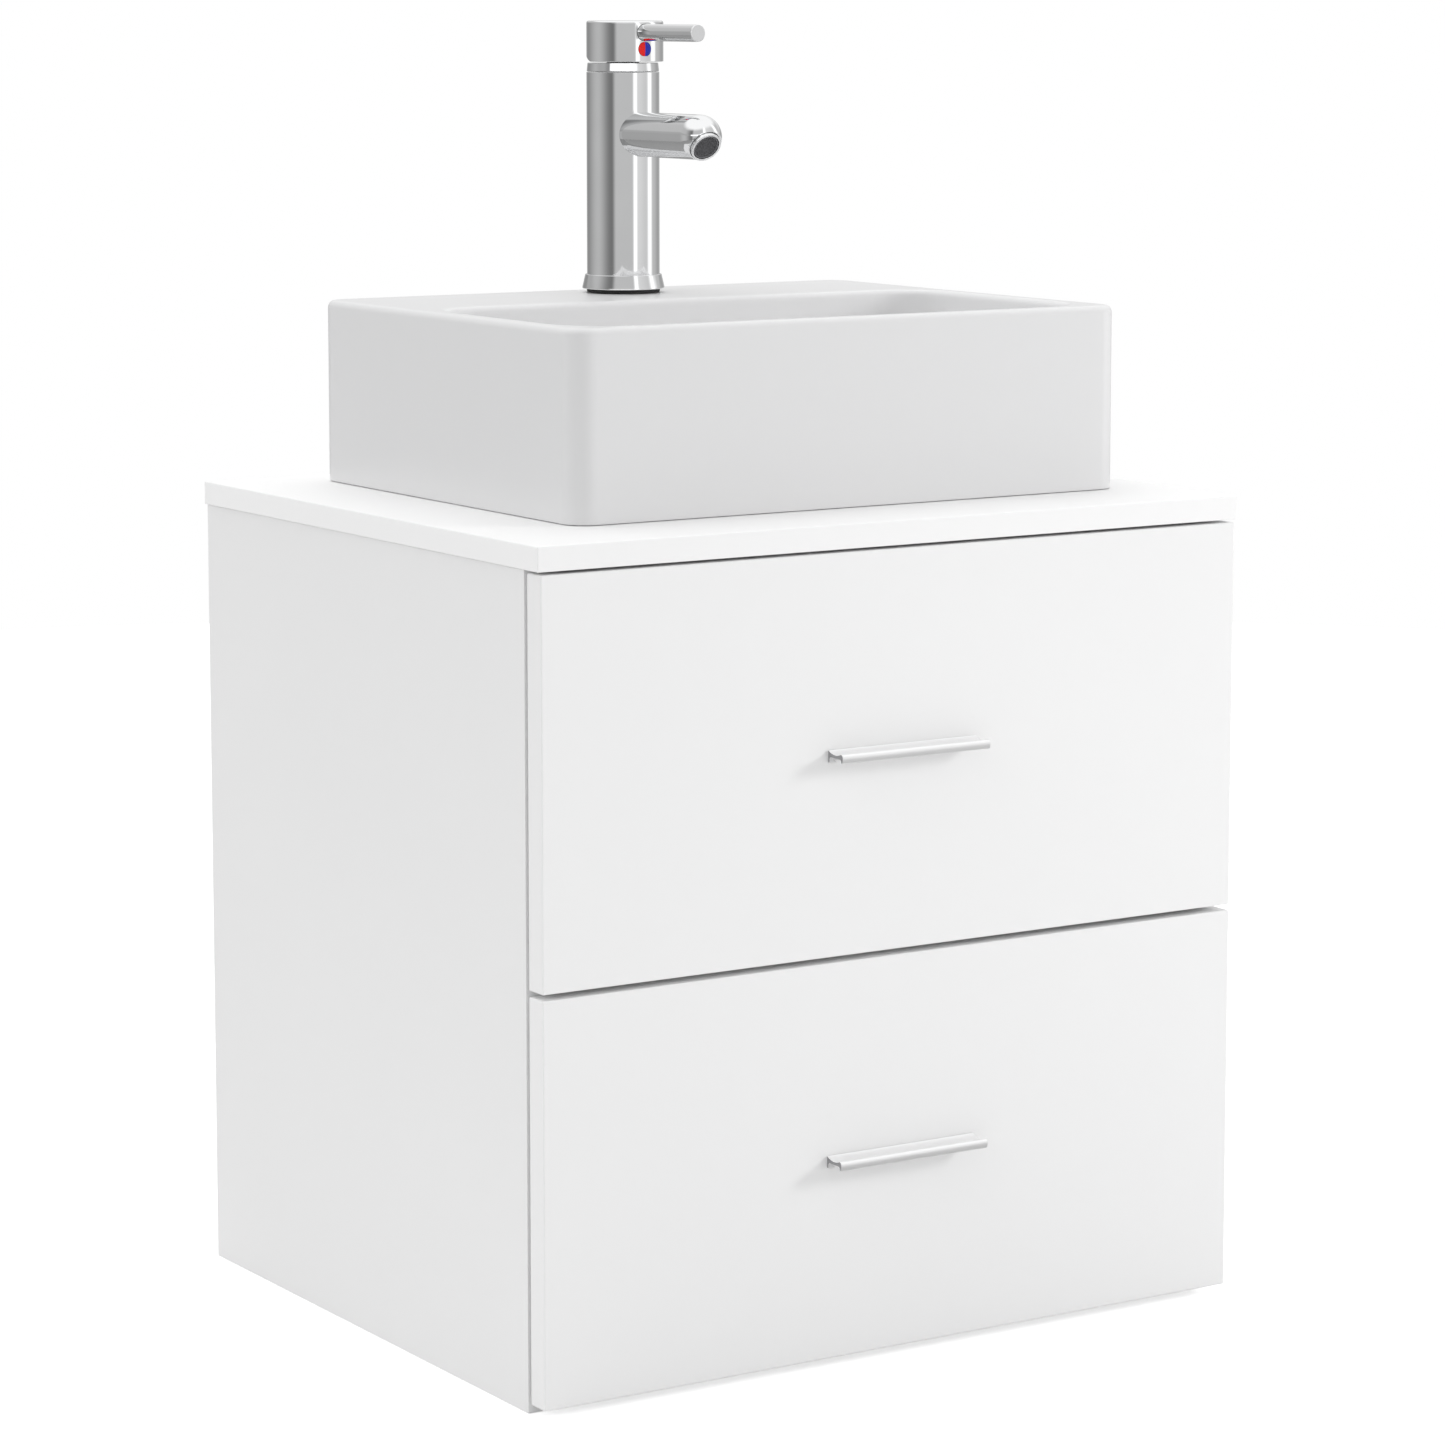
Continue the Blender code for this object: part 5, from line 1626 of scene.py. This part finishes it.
@dataclass
class Studio:
    """A pale floor, soft light and the camera."""

    floor_radius: float = 3.2
    floor_sides: int = 128
    floor_glow: float = 0.6  # for the camera alone, so that the floor fades into the white behind
    floor_colour: Colour = (0.92, 0.92, 0.92)
    # Painted shade: the floor's colour as glossy rays see it, darker so that reflections of the floor fall dim.
    floor_painted_dark_in_reflections: Colour = (0.34, 0.34, 0.34)
    camera_at: tuple[float, float, float] = (-1.557, -2.446, 0.819)
    camera_yaw: float = math.radians(32.51)
    camera_pitch: float = math.radians(7.18)
    lens: float = 115.2
    sensor_width: float = 36.0
    shift_y: float = -0.10
    softboxes: tuple[Softbox, ...] = (
        Softbox("overhead_softbox", (0.3, 0.7, 2.6), 2.4, 22.0),
        Softbox("key_softbox", (2.3, -1.75, 1.3), 0.8, 28.0),
    )
    aim: tuple[float, float, float] = (0, 0, 0.35)
    panels: Bands = ((-180, 0.60), (-145, 0.30), *PANELS, (145, 0.40), (180, 0.60))
    soft_layers: Layers = (
        ((0.03, 0.22), (
            (-180, 0.60), (-150, 0.75), (-110, 1.18), (-50, 1.18), (10, 0.62), (60, 0.48), (110, 0.54), (180, 0.60),
        )),
    )
    # Over the panels: a glow in front, the panels once more with a lighter back, and the ceiling.
    mirrored_layers: Layers = (
        ((0.11, 0.14), (
            (-180, 0.45), (-65, 0.45), (-45, 0.30), (-35, 1.80), (35, 1.80), (55, 0.80), (80, 0.70), (95, 1.40),
            (120, 0.60), (180, 0.45),
        )),
        ((0.18, 0.25), ((-180, 1.00), (-145, 0.60), *PANELS, (180, 1.00))),
        ((0.45, 0.72), ((-180, 1.15), (180, 1.15))),
    )

    def build(self) -> None:
        """Builds the floor, the lights, the surround and the camera."""
        self.build_floor()
        self.build_surround()
        self.build_lights()
        self.build_camera()
        bpy.context.scene.view_settings.view_transform = "Standard"

    def build_floor(self) -> None:
        """Builds the round pale floor under the cabinet."""
        mesh = bmesh.new()
        bmesh.ops.create_circle(mesh, cap_ends=True, radius=self.floor_radius, segments=self.floor_sides)
        bmesh.ops.translate(mesh, verts=mesh.verts, vec=(0, 0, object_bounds()[0].z - CLEARANCE))
        floor_mesh = bpy.data.meshes.new("studio_floor")
        mesh.to_mesh(floor_mesh)
        mesh.free()
        floor = bpy.data.objects.new("studio_floor", floor_mesh)
        bpy.context.scene.collection.objects.link(floor)
        finish = bpy.data.materials.new("studio_floor")
        finish.use_nodes = True
        bench = NodeBench(finish.node_tree)
        shader = finish.node_tree.nodes["Principled BSDF"]
        path = bench.add("ShaderNodeLightPath")
        # Painted shade: glossy rays see the floor in a darker colour than the camera and diffuse light do.
        tone = bench.add("ShaderNodeMix", data_type="RGBA")
        tone.inputs["A"].default_value = (*self.floor_colour, 1.0)
        tone.inputs["B"].default_value = (*self.floor_painted_dark_in_reflections, 1.0)
        bench.join(path.outputs["Is Glossy Ray"], tone.inputs["Factor"])
        bench.join(tone.outputs["Result"], shader.inputs["Base Color"])
        shader.inputs["Roughness"].default_value = 0.9
        shader.inputs["Emission Color"].default_value = (1, 1, 1, 1)
        seen = bench.sum_of("MULTIPLY", path.outputs["Is Camera Ray"], self.floor_glow)
        bench.join(seen, shader.inputs["Emission Strength"])
        floor_mesh.materials.append(finish)
        floor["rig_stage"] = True

    def build_surround(self) -> None:
        """Builds the studio's surround: panels round the horizon for reflections, and plain white behind."""
        world = bpy.data.worlds.new("studio_surround")
        bpy.context.scene.world = world
        world.use_nodes = True
        bench = NodeBench(world.node_tree)
        axes = bench.add("ShaderNodeSeparateXYZ")
        bench.join(bench.add("ShaderNodeTexCoord").outputs["Generated"], axes.inputs["Vector"])
        bearing = bench.sum_of("ARCTAN2", axes.outputs["Y"], axes.outputs["X"])
        towards_camera = math.atan2(self.camera_at[1], self.camera_at[0])
        turned = bench.sum_of("SUBTRACT", bearing, towards_camera - math.pi)
        around = bench.sum_of("FRACT", bench.sum_of("DIVIDE", turned, math.tau))
        diffuse = self.layered(bench, around, axes.outputs["Z"], self.soft_layers)
        mirrored = self.layered(bench, around, axes.outputs["Z"], self.mirrored_layers)
        seen = bench.add("ShaderNodeLightPath")
        colour = bench.add("ShaderNodeMix", data_type="RGBA")
        bench.join(seen.outputs["Is Glossy Ray"], colour.inputs["Factor"])
        bench.join(diffuse, colour.inputs["A"])
        bench.join(mirrored, colour.inputs["B"])
        surround = world.node_tree.nodes["Background"]
        bench.join(colour.outputs["Result"], surround.inputs["Color"])
        backdrop = bench.add("ShaderNodeBackground")
        backdrop.inputs["Color"].default_value = (1, 1, 1, 1)
        blend = bench.add("ShaderNodeMixShader")
        bench.join(seen.outputs["Is Camera Ray"], blend.inputs["Fac"])
        bench.join(surround.outputs["Background"], blend.inputs[1])
        bench.join(backdrop.outputs["Background"], blend.inputs[2])
        bench.join(blend.outputs["Shader"], world.node_tree.nodes["World Output"].inputs["Surface"])

    def layered(self, bench: NodeBench, around: bpy.types.NodeSocket, height: bpy.types.NodeSocket,
                layers: Layers) -> bpy.types.NodeSocket:
        """Radiance by bearing, in layers one above another over the panels round the horizon.

        Args:
            bench: The world's nodes.
            around: Bearing from 0 to 1.
            height: Sine of the elevation.
            layers: For each layer the sines of elevation between which it fades in, and its bands.

        Returns:
            The radiance's socket.
        """
        def ring(bands: Bands) -> bpy.types.NodeSocket:
            """A layer's radiance by bearing."""
            return bench.ramp(around, [((angle + 180) / 360, (value,) * 3) for angle, value in bands])

        result = ring(self.panels)
        for (start, end), bands in layers:
            share = bench.add("ShaderNodeMapRange", interpolation_type="SMOOTHSTEP")
            share.inputs["From Min"].default_value, share.inputs["From Max"].default_value = start, end
            bench.join(height, share.inputs["Value"])
            blend = bench.add("ShaderNodeMix", data_type="RGBA")
            bench.join(share.outputs["Result"], blend.inputs["Factor"])
            bench.join(result, blend.inputs["A"])
            bench.join(ring(bands), blend.inputs["B"])
            result = blend.outputs["Result"]
        return result

    def build_lights(self) -> None:
        """Hangs the softboxes."""
        for box in self.softboxes:
            light = bpy.data.lights.new(box.name, "AREA")
            light.shape = "SQUARE"
            light.size = box.size
            light.energy = box.power
            lamp = bpy.data.objects.new(box.name, light)
            lamp.location = box.spot
            lamp.visible_glossy = False
            lamp.rotation_euler = (Vector(self.aim) - Vector(box.spot)).to_track_quat("-Z", "Y").to_euler()
            bpy.context.scene.collection.objects.link(lamp)

    def build_camera(self) -> None:
        """Sets up the camera."""
        data = bpy.data.cameras.new("studio_camera")
        data.lens = self.lens
        data.sensor_width = self.sensor_width
        data.shift_y = self.shift_y
        camera = bpy.data.objects.new("studio_camera", data)
        camera.location = self.camera_at
        camera.rotation_euler = (math.pi / 2 - self.camera_pitch, 0, -self.camera_yaw)
        bpy.context.scene.collection.objects.link(camera)
        bpy.context.scene.camera = camera


def main() -> None:
    """Builds the vanity piece by piece and sets the studio round it."""
    logging.basicConfig(level=logging.INFO, format="%(name)s: %(message)s")
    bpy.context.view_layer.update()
    studio = Studio()
    studio.build()
    Carcass().build()
    for level in LEVELS:
        Drawer(level).build()
        for side in SIDES:
            Runner(level, side).build()
    Basin().build()
    Drainage().build()
    Tap().build()
    bpy.context.view_layer.update()
    log.info("built in full")


if __name__ == "__main__":
    main()
